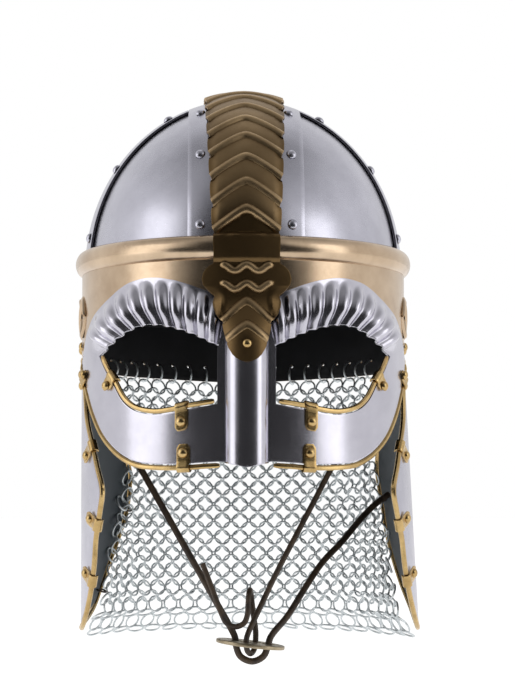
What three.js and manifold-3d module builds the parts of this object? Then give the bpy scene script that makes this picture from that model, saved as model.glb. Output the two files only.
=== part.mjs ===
// A spectacle helmet: a riveted bowl of four plates and two crossing bands, a brow band,
// a brass crest, a spectacle mask, hinged cheek plates, a mail neck guard and a chin strap.
// Millimetres. The origin is the middle of the head opening at the ears, +Z is up and the
// face looks along -Y. Left and right are -X and +X, as someone facing the helmet sees them.
import * as THREE from "three";
import { mergeVertices } from "three/addons/utils/BufferGeometryUtils.js";
import Module from "manifold-3d";

const wasm = await Module();
wasm.setup();

// Bowl
const headHalfWidth = 94.7;
const headHalfLength = 113.4;
const crownRise = 103.4;
const springHeight = 50;
const clearance = 0.3;
// A flat facet of an outer layer dips towards the layer under it, so wide facets get more room
const facetGap = 0.65;
const plateWall = 1.5;
const plateBottom = 22;
const crownHole = 14;
const seamDegrees = 0.8;
const bandWall = 1.5;
const bandWidth = 67;
const rivetInset = 7;
const steelRivetRadius = 3.15;
const steelRivetRise = 2.2;

// Brow band
const browWall = 1.4;
const beadHeight = 11.5;
const beadBottom = 47.5;
const beadBulge = 4;
const browBottomFront = 14;
const browBottomEar = -3.5;
const browBottomNeck = -11.2;
const browBottomBack = -14;
const twistLength = 62;
const twistHeight = 26;
const twistStrand = 1.3;
const twistMiddle = 20;

// Crest
const crestWall = 1.2;
const crestHalfFoot = 18.8;
const crestHalfCrown = 24.1;
const crestCrown = 1.2;
const chevronCount = 17;
const chevronPitch = 9.1;
const chevronFirst = 13.5;
const chevronFall = 7.5;
const chevronBead = 2.1;
const crestBackEnd = 172;
const plateLength = 60.2;
const footGap = 1.15;
const footSpread = 3.5;
const barRise = 1.5;

// Mask
const maskWall = 1.5;
const maskSideInset = 3.55;
const browRise = 37;
const maskDrop = 70.7;
const eyeReach = 86.5;
const noseFlange = 16.7;
const eyeRise = 9.8;
const eyeDrop = 42.2;
const noseHalfWidth = 11.2;
const noseBulge = 12;
const ribCount = 11;
const ribRise = 2.8;
const browSwell = 4.2;

// Trims, clips and brass rivets
const trimRadius = 1.6;
const clipWall = 1;
const clipWidth = 7.7;
const clipLeg = 11.5;
const cornerLeg = 8;
const brassRivetRadius = 2.9;
const brassRivetRise = 1.9;

// Cheek plates
const cheekWall = 1.4;
const cheekTop = -9;
const cheekDrop = 158;
const splayLeft = 0;
const splayRight = 3;
const hingeWall = 2;
const hingeGap = 0.6;
const hingeFrontDegrees = 78;
const hingeBackDegrees = 95;
const hingeRise = 15;

// Mail
const mailWall = 2.2;
const mailOffset = 0.2;
const mailDrop = 164;
const mailLap = 6;
const hemSpread = 17;

// Chin strap
const outerThongRadius = 2;
const innerThongRadius = 1.7;
const holeClearance = 1.9;
const discRadius = 20.5;
const discWall = 2.2;
const discCentre = { x: 3.5, y: -55.2, z: -176.9 };
const discTiltDegrees = 6.8;

// Radial levels of the layers, counted outward from the inside of the bowl
const bandInner = plateWall + facetGap;
const bandOuter = bandInner + bandWall;
const browInner = bandOuter + clearance;
const browOuter = browInner + browWall;
const maskInner = browOuter + clearance;
const maskOuter = maskInner + maskWall;
const maskHalfWidth = headHalfWidth + maskOuter - maskSideInset;
const cheekOuter = browInner + cheekWall;
const crestInner = bandOuter + facetGap + 0.05;
const beadTop = beadBottom + beadHeight;
const beadOuter = browOuter + beadBulge;
const ramp = (value, from, to) => THREE.MathUtils.smoothstep(value, from, to);
const radians = THREE.MathUtils.degToRad;
const mix = THREE.MathUtils.lerp;

const colours = {
  steel: { color: 0x9a979f, roughness: 0.28, metalness: 1 },
  mailSteel: { color: 0x7f8a8c, roughness: 0.4, metalness: 1 },
  crestBrass: { color: 0x7b6a4b, roughness: 0.38, metalness: 1 },
  browBrass: { color: 0xb08a5a, roughness: 0.3, metalness: 1 },
  trimBrass: { color: 0xc9a860, roughness: 0.3, metalness: 1 },
  leather: { color: 0x2e241b, roughness: 0.7, metalness: 0 },
  agedBrass: { color: 0x8a7f6c, roughness: 0.5, metalness: 1 },
};

const helmet = new THREE.Group();

function addPiece(name, geometry, finish) {
  const mesh = new THREE.Mesh(geometry, new THREE.MeshStandardMaterial(colours[finish]));
  mesh.name = name;
  helmet.add(mesh);
  return mesh;
}

// Keeps only positions, joins shared points and turns the faces outward
function closeUp(source) {
  source.deleteAttribute("normal");
  source.deleteAttribute("uv");
  const geometry = mergeVertices(source, 1e-3);
  const index = geometry.index.array;
  const at = geometry.attributes.position;
  const kept = [];
  const a = new THREE.Vector3();
  const b = new THREE.Vector3();
  const c = new THREE.Vector3();
  let volume = 0;
  for (let i = 0; i < index.length; i += 3) {
    const [p, q, r] = [index[i], index[i + 1], index[i + 2]];
    if (p === q || q === r || r === p) continue;
    kept.push(p, q, r);
    a.fromBufferAttribute(at, p);
    b.fromBufferAttribute(at, q);
    c.fromBufferAttribute(at, r);
    volume += a.dot(b.cross(c));
  }
  if (volume < 0) kept.reverse();
  geometry.setIndex(kept);
  return geometry;
}

function movePoints(geometry, place) {
  const at = geometry.attributes.position;
  const p = new THREE.Vector3();
  for (let i = 0; i < at.count; i += 1) {
    p.fromBufferAttribute(at, i);
    const q = place(p);
    at.setXYZ(i, q.x, q.y, q.z);
  }
  return geometry;
}

// A flat sheet of nu by nv faces, formed to place(u, v, depth), each from 0 to 1
function formedSheet(nu, nv, place) {
  const flat = new THREE.BoxGeometry(1, 1, 1, nu, nv, 1);
  return closeUp(movePoints(flat, (p) => place(p.x + 0.5, p.y + 0.5, p.z + 0.5)));
}

// A closed ring with a section of {across, up} points, formed to place(turn, across, up)
function formedRing(steps, section, place) {
  const profile = [...section, section[0]].map((s) => new THREE.Vector2(s.across + 2, s.up));
  const ring = new THREE.LatheGeometry(profile, steps);
  return closeUp(
    movePoints(ring, (p) => {
      const step = Math.round((Math.atan2(p.x, p.z) / (2 * Math.PI)) * steps);
      const turn = ((step + steps) % steps) / steps;
      return place(turn, Math.hypot(p.x, p.z) - 2, p.y);
    }),
  );
}

function solidOf(geometry) {
  const vertProperties = new Float32Array(geometry.attributes.position.array);
  const triVerts = new Uint32Array(geometry.index.array);
  return new wasm.Manifold(new wasm.Mesh({ numProp: 3, vertProperties, triVerts }));
}

function joined(first, others) {
  let solid = solidOf(first);
  for (const other of others) solid = solid.add(solidOf(other));
  const mesh = solid.getMesh();
  const geometry = new THREE.BufferGeometry();
  geometry.setAttribute("position", new THREE.BufferAttribute(mesh.vertProperties, 3));
  geometry.setIndex([...mesh.triVerts]);
  return closeUp(geometry);
}

// A point on the bowl: below the spring line the wall is upright, above it the dome turns in
function wallPoint(degrees, height, level) {
  const a = radians(degrees);
  const x = (headHalfWidth + level) * Math.sin(a);
  const y = -(headHalfLength + level) * Math.cos(a);
  return new THREE.Vector3(x, y, height);
}

function domePoint(degrees, elevation, level) {
  const in2d = Math.cos(radians(elevation));
  const p = wallPoint(degrees, 0, level);
  const z = springHeight + (crownRise + level) * Math.sin(radians(elevation));
  return new THREE.Vector3(p.x * in2d, p.y * in2d, z);
}

// The turn from the face at which the wall stands x to the side
function turnAt(x, level) {
  return THREE.MathUtils.radToDeg(Math.asin(x / (headHalfWidth + level)));
}

// A point x beside the middle plane, at an arch angle from 0 at the face to 180 at the back.
// A negative angle goes down the upright wall, as far as that arc is long.
const archMillimetres = radians(1) * (headHalfLength + crownRise) * 0.5;
function archPoint(x, arch, level) {
  const shrink = Math.sqrt(1 - (x / (headHalfWidth + level)) ** 2);
  const y = -(headHalfLength + level) * shrink;
  if (arch < 0) return new THREE.Vector3(x, y, springHeight + arch * archMillimetres);
  const z = springHeight + (crownRise + level) * shrink * Math.sin(radians(arch));
  return new THREE.Vector3(x, y * Math.cos(radians(arch)), z);
}

// The same for the band from ear to ear: y beside its middle plane, 0 at the right ear
function sidePoint(y, arch, level) {
  const shrink = Math.sqrt(1 - (y / (headHalfLength + level)) ** 2);
  const x = (headHalfWidth + level) * shrink;
  if (arch < 0) return new THREE.Vector3(x, y, springHeight + arch * archMillimetres);
  const z = springHeight + (crownRise + level) * shrink * Math.sin(radians(arch));
  return new THREE.Vector3(x * Math.cos(radians(arch)), y, z);
}

const rivetSides = 6;

// A domed rivet head that stands on a point, its base sunk in by a given depth
function rivetHead(point, outward, radius, rise, sunk) {
  const profile = [
    new THREE.Vector2(0, -sunk),
    new THREE.Vector2(radius, -sunk),
    new THREE.Vector2(radius * 0.86, rise * 0.62),
    new THREE.Vector2(0, rise),
  ];
  const head = new THREE.LatheGeometry(profile, rivetSides);
  const up = new THREE.Vector3(0, 1, 0);
  head.applyQuaternion(new THREE.Quaternion().setFromUnitVectors(up, outward));
  head.translate(point.x, point.y, point.z);
  return closeUp(head);
}

// The outward direction of a surface that at(level) crosses
function outwardAt(at) {
  return at(4).sub(at(0)).normalize();
}

function roundSection(radius, sides) {
  const points = [];
  for (let i = 0; i < sides; i += 1) {
    const a = (i / sides) * 2 * Math.PI;
    points.push(new THREE.Vector2(radius * Math.cos(a), radius * Math.sin(a)));
  }
  return new THREE.Shape(points);
}

function tubeAlong(points, radius, sides, steps) {
  const extrudePath = new THREE.CatmullRomCurve3(points, false, "centripetal");
  const options = { steps, extrudePath, bevelEnabled: false };
  return closeUp(new THREE.ExtrudeGeometry(roundSection(radius, sides), options));
}

// Skull plates: a quarter of the bowl each, from behind the brow band to the crown
const plateSteps = 6;
function skullPlate(firstDegrees) {
  const topElevation = THREE.MathUtils.radToDeg(Math.acos(crownHole / headHalfWidth));
  const skirtShare = 1 / plateSteps;
  return formedSheet(plateSteps, plateSteps, (u, v, depth) => {
    const turn = firstDegrees + mix(seamDegrees, 90 - seamDegrees, u);
    const level = depth * plateWall;
    if (v < skirtShare * 0.5) return wallPoint(turn, plateBottom, level);
    return domePoint(turn, (topElevation * (v - skirtShare)) / (1 - skirtShare), level);
  });
}
addPiece("skull_plate_front_right", skullPlate(0), "steel");
addPiece("skull_plate_back_right", skullPlate(90), "steel");
addPiece("skull_plate_back_left", skullPlate(180), "steel");
addPiece("skull_plate_front_left", skullPlate(270), "steel");

// Bands: one from brow to nape over the crown, and one from each ear up to it.
// Each rivet's head is hammered down on its band, so that a band and its heads are one solid.
const skirtArch = (plateBottom - springHeight) / archMillimetres;
const rivetSide = bandWidth / 2 - rivetInset;
const medialRivets = [9.5, 36, 62.3, 117.7, 144, 170.5];
const lateralRivets = [10, 35.5, 61];

function bandAlong(pointAt, from, to, steps) {
  return formedSheet(4, steps, (u, v, depth) => {
    const beside = mix(-bandWidth / 2, bandWidth / 2, u);
    const arch = mix(from, to(beside), v);
    return pointAt(beside, arch, mix(bandInner, bandOuter, depth));
  });
}

function bandRivets(pointAt, arches) {
  return arches.flatMap((arch) =>
    [-rivetSide, rivetSide].map((beside) => {
      const at = (level) => pointAt(beside, arch, level);
      const seat = at(bandOuter - bandWall / 3);
      return rivetHead(seat, outwardAt(at), steelRivetRadius, steelRivetRise, 0);
    }),
  );
}

const medialBack = (x, arch, level) => {
  if (arch <= 180) return archPoint(x, arch, level);
  const p = archPoint(x, 180 - arch, level);
  return new THREE.Vector3(p.x, -p.y, p.z);
};
addPiece(
  "medial_band",
  joined(
    bandAlong(medialBack, skirtArch, () => 180 - skirtArch, 28),
    bandRivets(archPoint, medialRivets),
  ),
  "steel",
);

// The side bands stop beside the medial band's straight edge
function lateralTop(beside) {
  const shrink = Math.sqrt(1 - (beside / (headHalfLength + bandInner)) ** 2);
  const stop = bandWidth / 2 + clearance;
  return THREE.MathUtils.radToDeg(Math.acos(stop / ((headHalfWidth + bandInner) * shrink)));
}
for (const [side, name] of [
  [-1, "lateral_band_left"],
  [1, "lateral_band_right"],
]) {
  const at = (y, arch, level) => {
    const p = sidePoint(y, arch, level);
    return new THREE.Vector3(side * p.x, p.y, p.z);
  };
  const band = joined(bandAlong(at, skirtArch, lateralTop, 10), bandRivets(at, lateralRivets));
  addPiece(name, band, "steel");
}

// Brow band: a ring with a rolled bead on top, and a raised two-strand twist at each temple
const browBottomTable = [
  { turn: 0, low: browBottomFront },
  { turn: 58, low: browBottomFront },
  { turn: 74, low: browBottomEar },
  { turn: 113, low: browBottomEar },
  { turn: 118, low: browBottomNeck },
  { turn: 150, low: mix(browBottomNeck, browBottomBack, 0.35) },
  { turn: 180, low: browBottomBack },
];

function fromTable(table, key, at, column) {
  const next = table.findIndex((row) => row[key] >= at);
  if (next <= 0) return table[Math.max(next, 0)][column];
  const [a, b] = [table[next - 1], table[next]];
  return mix(a[column], b[column], (at - a[key]) / (b[key] - a[key]));
}

function browBottom(degrees) {
  const turn = Math.abs(((degrees + 540) % 360) - 180);
  return fromTable(browBottomTable, "turn", turn, "low");
}

const bead = (share) => beadBottom + beadHeight * share;
const browSection = [
  { across: browInner, up: 0 },
  { across: browInner, up: bead(0) },
  { across: browInner, up: bead(1) },
  { across: browOuter, up: bead(1) },
  { across: browOuter + beadBulge * 0.75, up: bead(0.86) },
  { across: beadOuter, up: bead(0.5) },
  { across: browOuter + beadBulge * 0.75, up: bead(0.12) },
  { across: browOuter, up: bead(-0.04) },
  { across: browOuter, up: 0 },
];
const browRing = formedRing(44, browSection, (turn, across, up) => {
  const height = up === 0 ? browBottom(turn * 360) : up;
  return wallPoint(turn * 360, height, across);
});

function twistStrandAt(side, phase) {
  const path = [];
  const steps = 10;
  for (let i = 0; i <= steps; i += 1) {
    const along = (i / steps - 0.5) * twistLength;
    const wave = Math.sin((i / steps) * 3 * Math.PI + phase) * (twistHeight / 2 - twistStrand);
    const turn = 90 + THREE.MathUtils.radToDeg(along / headHalfLength);
    path.push(wallPoint(side * turn, twistMiddle + wave, browOuter));
  }
  return tubeAlong(path, twistStrand, 4, steps);
}
const twists = [-1, 1].flatMap((side) => [twistStrandAt(side, 0), twistStrandAt(side, Math.PI)]);
addPiece("brow_band", joined(browRing, twists), "browBrass");

// The nose ridge, a half round that rises out of the mask under the crest's foot
function noseRise(x, z, spread = 0) {
  const across = Math.sqrt(Math.max(0, 1 - (x / (noseHalfWidth + spread)) ** 2));
  return noseBulge * across * (1 - ramp(z, -2, 26));
}

// How far the brow flutes stand out at most, near the mask's upper edge
function fluteRise(x, z) {
  const beside = ramp(Math.abs(x), noseHalfWidth, 2 * noseHalfWidth);
  return (browSwell + ribRise) * beside * (1 - ramp(z, 0.54 * browRise, 0.84 * browRise));
}

// Crest: rows of points across the strip, from the tip of its lobed foot over to the nape.
// On the dome the rows fall to the sides in a chevron, and each chevron has one raised bead.
const footTip = beadBottom - plateLength - 0.5;
const footTable = [
  { up: 0, half: 0.18, fall: 0, lift: 0 },
  { up: 0.05, half: 0.42, fall: 0, lift: 0 },
  { up: 0.15, half: 0.54, fall: 0, lift: 0 },
  { up: 0.36, half: 0.6, fall: 0.13, lift: 0 },
  { up: 0.4, half: 0.66, fall: 0.14, lift: 1 },
  { up: 0.45, half: 0.71, fall: 0.15, lift: 0 },
  { up: 0.58, half: 0.78, fall: 0.17, lift: 0 },
  { up: 0.62, half: 0.86, fall: 0.17, lift: 1 },
  { up: 0.66, half: 1.02, fall: 0.13, lift: 0 },
  { up: 0.68, half: 1.0, fall: 0.03, lift: 0 },
  { up: 0.71, half: 1.24, fall: 0, lift: 0 },
  { up: 0.81, half: 1.34, fall: 0, lift: 0 },
  { up: 0.91, half: 1.24, fall: 0, lift: 0 },
  { up: 0.96, half: 1, fall: 0, lift: 0 },
];
const crestRows = footTable.map((row) => ({
  arch: (footTip + row.up * plateLength - springHeight) / archMillimetres,
  half: row.half * crestHalfFoot,
  fall: (row.fall * plateLength) / archMillimetres,
  lift: row.lift,
}));
const crestHalf = (arch) => mix(crestHalfFoot, crestHalfCrown, Math.sin(radians(arch)));
for (const share of [0.04, 0.94]) {
  const arch = (bead(share) - springHeight) / archMillimetres;
  crestRows.push({ arch, half: crestHalfFoot, fall: 0, lift: 0 });
}
for (let k = 0; k < chevronCount; k += 1) {
  const arch = chevronFirst + k * chevronPitch;
  for (const [share, lift] of [
    [0, 0],
    [0.16, 1],
    [0.34, 0],
  ]) {
    const at = arch + (share - 0.16) * chevronPitch;
    crestRows.push({ arch: at, half: crestHalf(at), fall: chevronFall, lift });
  }
}
crestRows.push({ arch: crestBackEnd, half: crestHalfFoot, fall: chevronFall, lift: 0 });

function crestLevel(x, arch) {
  const z = springHeight + arch * archMillimetres;
  const overBead = beadOuter + clearance;
  const overMask = maskOuter + footGap + noseRise(x, z, footSpread) + fluteRise(x, z);
  if (arch > 5.9) return crestInner;
  if (z > bead(0.99)) return mix(overBead, crestInner, ramp(z, bead(0.97), beadTop + 2.6));
  if (z > bead(0.02)) return overBead;
  return mix(overMask, overBead, ramp(z, bead(-0.3), bead(0.02)));
}

const crestSheet = formedSheet(4, crestRows.length - 1, (u, v, depth) => {
  const row = crestRows[Math.round(v * (crestRows.length - 1))];
  const beside = 2 * u - 1;
  const x = beside * row.half;
  const arch = row.arch - row.fall * Math.abs(beside);
  const crown = crestCrown * (1 - beside ** 2) * ramp(arch, 6, 14);
  const level = crestLevel(x, arch) + crown + row.lift * chevronBead;
  return archPoint(x, arch, level + depth * crestWall);
});

// A point on the front of the crest's foot
function footPoint(x, up, above) {
  const arch = (footTip + up * plateLength - springHeight) / archMillimetres;
  return archPoint(x, arch, crestLevel(x, arch) + crestWall + above);
}

// A raised bar on the foot: its middle line is up(x), its section a low square on its corner
function footBar(halfLength, steps, upAt) {
  const path = [];
  for (let i = 0; i <= steps; i += 1) {
    const share = (2 * i) / steps - 1;
    path.push(footPoint(share * halfLength, upAt(share), -0.2));
  }
  return tubeAlong(path, barRise, 4, steps);
}
const waveAt = (middle) => (share) => middle + 0.035 * (Math.cos(share * 2.4 * Math.PI) - 0.2);
const bars = [
  footBar(crestHalfFoot * 0.68, 8, waveAt(0.905)),
  footBar(crestHalfFoot * 0.68, 8, waveAt(0.765)),
];
addPiece("crest", joined(crestSheet, bars), "crestBrass");
const crestRivetSeat = (level) => footPoint(0, 0.17, clearance + level);
addPiece(
  "crest_rivet",
  rivetHead(crestRivetSeat(0), outwardAt(crestRivetSeat), brassRivetRadius * 0.9, brassRivetRise, 0),
  "trimBrass",
);

// Mask: a ring of sheet round each eye, from the eye's edge out to the mask's edge.
// side is a share of maskHalfWidth or of eyeReach, up a share of the rises and drops.
const browEdge = [
  { side: 0.12, up: 0.66 },
  { side: 0.225, up: 0.752 },
  { side: 0.332, up: 0.86 },
  { side: 0.43, up: 0.943 },
  { side: 0.57, up: 1 },
  { side: 0.702, up: 0.935 },
  { side: 0.815, up: 0.738 },
  { side: 0.92, up: 0.48 },
  { side: 0.972, up: 0.2 },
];
const cheekEdge = [
  { side: 0.987, drop: 0 },
  { side: 1, drop: 0.155 },
  { side: 0.962, drop: 0.373 },
  { side: 0.914, drop: 0.577 },
  { side: 0.848, drop: 0.757 },
  { side: 0.753, drop: 0.898 },
  { side: 0.651, drop: 0.976 },
  { side: 0.529, drop: 0.999 },
  { side: 0.356, drop: 1 },
  { side: 0.25, drop: 0.99 },
  { side: 0.145, drop: 0.982 },
];
const eyeTop = [
  { side: 0.193, up: -0.32 },
  { side: 0.309, up: 0.214 },
  { side: 0.405, up: 0.571 },
  { side: 0.514, up: 0.857 },
  { side: 0.62, up: 1 },
  { side: 0.733, up: 0.878 },
  { side: 0.846, up: 0.367 },
  { side: 0.955, up: -0.36 },
];
const eyeLow = [
  { side: 1, drop: 0.15 },
  { side: 0.96, drop: 0.34 },
  { side: 0.904, drop: 0.538 },
  { side: 0.829, drop: 0.808 },
  { side: 0.751, drop: 0.936 },
  { side: 0.621, drop: 1 },
  { side: 0.512, drop: 0.983 },
  { side: 0.388, drop: 0.931 },
  { side: 0.25, drop: 0.887 },
  { side: 0.207, drop: 0.872 },
];
const browEdgeLine = browEdge.map((p) => [p.side * maskHalfWidth, p.up * browRise]);
const cheekEdgeLine = cheekEdge.map((p) => [p.side * maskHalfWidth, -p.drop * maskDrop]);
const eyeTopLine = eyeTop.map((p) => [p.side * eyeReach, p.up * eyeRise]);
const eyeLowLine = eyeLow.map((p) => [p.side * eyeReach, -p.drop * eyeDrop]);
eyeTopLine[0][0] = noseFlange;
const noseTop = [noseFlange, eyeTopLine[0][1]];
const noseLow = [noseFlange, -0.865 * eyeDrop];
const bridgeEye = [noseFlange, -0.92 * eyeRise];
const middleTop = [0, 0.6 * browRise];
const middleLow = [0, -1.03 * maskDrop];

// A smooth line through flat points, read by a share of its length
function smoothLine(points) {
  const line = new THREE.CatmullRomCurve3(
    points.map(([x, z]) => new THREE.Vector3(x, z, 0)),
    false,
    "centripetal",
  );
  return (share) => {
    const p = line.getPointAt(share);
    return [p.x, p.y];
  };
}
const straight = (a, b) => (share) => [mix(a[0], b[0], share), mix(a[1], b[1], share)];

// The stretches of the ring: brow, cheek, the foot of the nose, the nose itself and the bridge
// between the brows, each from its eye line out to its edge
const stretches = [
  { steps: 2 * ribCount, eye: smoothLine(eyeTopLine), edge: smoothLine(browEdgeLine) },
  { steps: 13, eye: smoothLine(eyeLowLine), edge: smoothLine(cheekEdgeLine) },
  { steps: 4, eye: straight(eyeLowLine.at(-1), noseLow), edge: straight(cheekEdgeLine.at(-1), middleLow) },
  { steps: 5, eye: straight(noseLow, bridgeEye), edge: straight(middleLow, middleTop) },
  { steps: 2, eye: straight(bridgeEye, noseTop), edge: straight(middleTop, browEdgeLine[0]) },
];
const ringSteps = stretches.reduce((sum, s) => sum + s.steps, 0);
const maskRows = 4;

// The flat place on the mask at a step round the eye and a share out from the eye's edge
function maskFlat(step, out) {
  let left = step;
  let k = 0;
  while (left >= stretches[k].steps) {
    left -= stretches[k].steps;
    k += 1;
  }
  const share = left / stretches[k].steps;
  const eye = stretches[k].eye(share);
  const edge = stretches[k].edge(share);
  const x = mix(eye[0], edge[0], out);
  const z = mix(eye[1], edge[1], out);
  return { x, z, brow: k === 0 ? share : -1, step: left };
}

function maskLift(spot, out) {
  const nose = noseRise(spot.x, spot.z);
  if (spot.brow < 0) return nose;
  const clear = ramp(spot.x, noseHalfWidth, 2 * noseHalfWidth) * (1 - ramp(spot.brow, 0.94, 1));
  const swell = browSwell * ramp(out, -0.1, 0.4) * (1 - ramp(out, 0.4, 1));
  const rib = spot.step % 2 === 1 ? ribRise * (1 - ramp(out, 0.58, 1)) : 0;
  return nose + (swell + rib) * clear;
}

function maskPoint(x, z, level) {
  return wallPoint(turnAt(x, maskOuter), z, level);
}

const maskSection = [];
for (let i = 0; i <= maskRows; i += 1) maskSection.push({ across: i / maskRows, up: 0 });
for (let i = maskRows; i >= 0; i -= 1) maskSection.push({ across: i / maskRows, up: 1 });
function maskHalf(side) {
  return formedRing(ringSteps, maskSection, (turn, across, depth) => {
    const spot = maskFlat(Math.round(turn * ringSteps) % ringSteps, across);
    const level = mix(maskInner, maskOuter, depth) + maskLift(spot, across);
    const p = maskPoint(spot.x, spot.z, level);
    if (across > 0.999 && spot.x < 0.01) p.x = 0;
    return new THREE.Vector3(side * p.x, p.y, p.z);
  });
}
addPiece("spectacle_mask", joined(maskHalf(1), [maskHalf(-1)]), "steel");

// A line that runs beside an edge: reach is how far outside the edge it lies
function besideEdge(points, outwards, inside, reach) {
  return points.map((p, i) => {
    const along = points[Math.min(i + 1, points.length - 1)].clone();
    along.sub(points[Math.max(i - 1, 0)]).normalize();
    const away = new THREE.Vector3().crossVectors(along, outwards[i]).normalize();
    if (away.dot(p.clone().sub(inside)) < 0) away.negate();
    return p.clone().addScaledVector(away, reach);
  });
}

// Brass edge trims of the mask: under each eye, and along the mask's lower edge
const trimReach = trimRadius + 1.5 * clearance;
const maskMiddleLevel = (maskInner + maskOuter) / 2;
function maskTrimLine(side, line, from, to, count, sign) {
  const points = [];
  const outwards = [];
  for (let i = 0; i <= count; i += 1) {
    const [x, z] = line(mix(from, to, i / count));
    const p = maskPoint(x, z, maskMiddleLevel + noseRise(x, z));
    const q = maskPoint(x, z, maskMiddleLevel + 4 + noseRise(x, z));
    points.push(new THREE.Vector3(side * p.x, p.y, p.z));
    outwards.push(new THREE.Vector3(side * (q.x - p.x), q.y - p.y, 0).normalize());
  }
  const eyeMiddle = maskPoint(0.6 * eyeReach, -0.35 * eyeDrop, maskMiddleLevel);
  eyeMiddle.x *= side;
  return besideEdge(points, outwards, eyeMiddle, sign * trimReach);
}
const eyeLowAt = smoothLine(eyeLowLine);
const cheekEdgeAt = smoothLine(cheekEdgeLine);

// A clip folded over a trim and down on the sheet. edge, along and outward set it in place.
function clipOver({ edge, along, outward, into }, width, leg, reach) {
  const tube = { x: -reach, y: -maskWall / 2 };
  const hookRadius = trimRadius + 3 * clearance;
  const outline = [];
  for (const a of [70, 125, 195, 265]) {
    const r = hookRadius + clipWall * 1.2;
    outline.push([tube.x + r * Math.cos(radians(a)), tube.y + r * Math.sin(radians(a))]);
  }
  for (const a of [265, 195, 125, 70]) {
    const r = hookRadius;
    outline.push([tube.x + r * Math.cos(radians(a)), tube.y + r * Math.sin(radians(a))]);
  }
  outline.push([0.4, clearance], [leg, clearance], [leg, clearance + clipWall]);
  outline.push([1, clearance + clipWall]);
  const shape = new THREE.Shape(outline.map(([x, y]) => new THREE.Vector2(x, y)));
  const clip = new THREE.ExtrudeGeometry(shape, { depth: width, bevelEnabled: false });
  clip.translate(0, 0, -width / 2);
  clip.applyMatrix4(new THREE.Matrix4().makeBasis(into, outward, along).setPosition(edge));
  return closeUp(clip);
}

// Where a clip sits: on the sheet's outer face at its edge, with its three directions
function clipSeat(edge, next, outward, inside) {
  const along = next.clone().sub(edge).normalize();
  const into = new THREE.Vector3().crossVectors(along, outward).normalize();
  if (into.dot(inside.clone().sub(edge)) < 0) into.negate();
  const face = new THREE.Vector3().crossVectors(into, outward);
  return { edge, along: face, outward, into };
}

const mirrored = (p, side) => new THREE.Vector3(side * p.x, p.y, p.z);
// A plumb clip's leg hangs straight up and down, though its hook follows the sloping edge.
function maskClipSeat(side, line, share, towardEye, plumb) {
  const [x, z] = line(share);
  const [nx, nz] = line(Math.min(share + 0.02, 1));
  const edge = maskPoint(x, z, maskOuter);
  const next = maskPoint(nx, nz, maskOuter);
  const outward = maskPoint(x, z, maskOuter + 4).sub(edge).normalize();
  const far = maskPoint(x, z + (towardEye ? 20 : -20), maskOuter);
  const seat = clipSeat(edge, next, outward, far);
  if (plumb) {
    const level = new THREE.Vector3(-outward.y, outward.x, 0);
    seat.into.addScaledVector(seat.along, -seat.into.dot(level) / seat.along.dot(level));
  }
  return {
    edge: mirrored(seat.edge, side),
    along: mirrored(seat.along, side).multiplyScalar(side),
    outward: mirrored(seat.outward, side),
    into: mirrored(seat.into, side),
  };
}

function addClip(name, seat, width, leg) {
  addPiece(name, clipOver(seat, width, leg, trimReach), "trimBrass");
  const top = clearance + clipWall + clearance;
  const rivetAt = seat.edge.clone();
  rivetAt.addScaledVector(seat.into, leg * 0.55).addScaledVector(seat.outward, top);
  const head = rivetHead(rivetAt, seat.outward, brassRivetRadius, brassRivetRise, 0);
  addPiece(`${name}_rivet`, head, "trimBrass");
}

for (const [side, name] of [
  [-1, "left"],
  [1, "right"],
]) {
  const eyeTrim = maskTrimLine(side, eyeLowAt, 0.02, 0.995, 16, -1);
  addPiece(`eye_trim_${name}`, tubeAlong(eyeTrim, trimRadius, 6, 14), "trimBrass");
  const edgeTrim = maskTrimLine(side, cheekEdgeAt, 0.07, 0.99, 18, 1);
  addPiece(`mask_trim_${name}`, tubeAlong(edgeTrim, trimRadius, 6, 16), "trimBrass");
  addClip(`eye_clip_${name}`, maskClipSeat(side, eyeLowAt, 0.78, false, true), clipWidth, clipLeg);
  addClip(`mask_clip_${name}`, maskClipSeat(side, cheekEdgeAt, 0.835, true, true), clipWidth, clipLeg);
  addClip(`eye_corner_clip_${name}`, maskClipSeat(side, eyeLowAt, 0.19, false), clipWidth, cornerLeg);
  addClip(`temple_clip_${name}`, maskClipSeat(side, cheekEdgeAt, 0.15, true), clipWidth, cornerLeg);
}

// Cheek plates: drop is a share of cheekDrop, and the edges are turns from the face
const cheekTable = [
  { drop: 0, front: 83.2, rearLeft: 110, rearRight: 110 },
  { drop: 0.125, front: 76.6, rearLeft: 115, rearRight: 113.5 },
  { drop: 0.228, front: 73.4, rearLeft: 121, rearRight: 116.5 },
  { drop: 0.329, front: 67, rearLeft: 127.5, rearRight: 119 },
  { drop: 0.411, front: 62.8, rearLeft: 131.5, rearRight: 120 },
  { drop: 0.487, front: 59.4, rearLeft: 131.4, rearRight: 119 },
  { drop: 0.563, front: 61, rearLeft: 130, rearRight: 117.5 },
  { drop: 0.658, front: 63.9, rearLeft: 126.4, rearRight: 116 },
  { drop: 0.766, front: 65.5, rearLeft: 120.5, rearRight: 112 },
  { drop: 0.861, front: 68.5, rearLeft: 114.5, rearRight: 106.5 },
  { drop: 0.937, front: 73, rearLeft: 108.8, rearRight: 99 },
  { drop: 1, front: 82, rearLeft: 91, rearRight: 89 },
];

// A hung piece swings out from the brow band's lower edge by its splay
function splayed(side, p) {
  const splay = side < 0 ? splayLeft : splayRight;
  const out = Math.max(0, cheekTop - p.z) * Math.tan(radians(splay));
  return new THREE.Vector3(side * (p.x + out), p.y, p.z);
}
const rearColumn = (side) => (side < 0 ? "rearLeft" : "rearRight");
const cheekHeight = (drop) => cheekTop - drop * cheekDrop;

function cheekPoint(side, drop, degrees, level) {
  return splayed(side, wallPoint(degrees, cheekHeight(drop), level));
}

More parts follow.
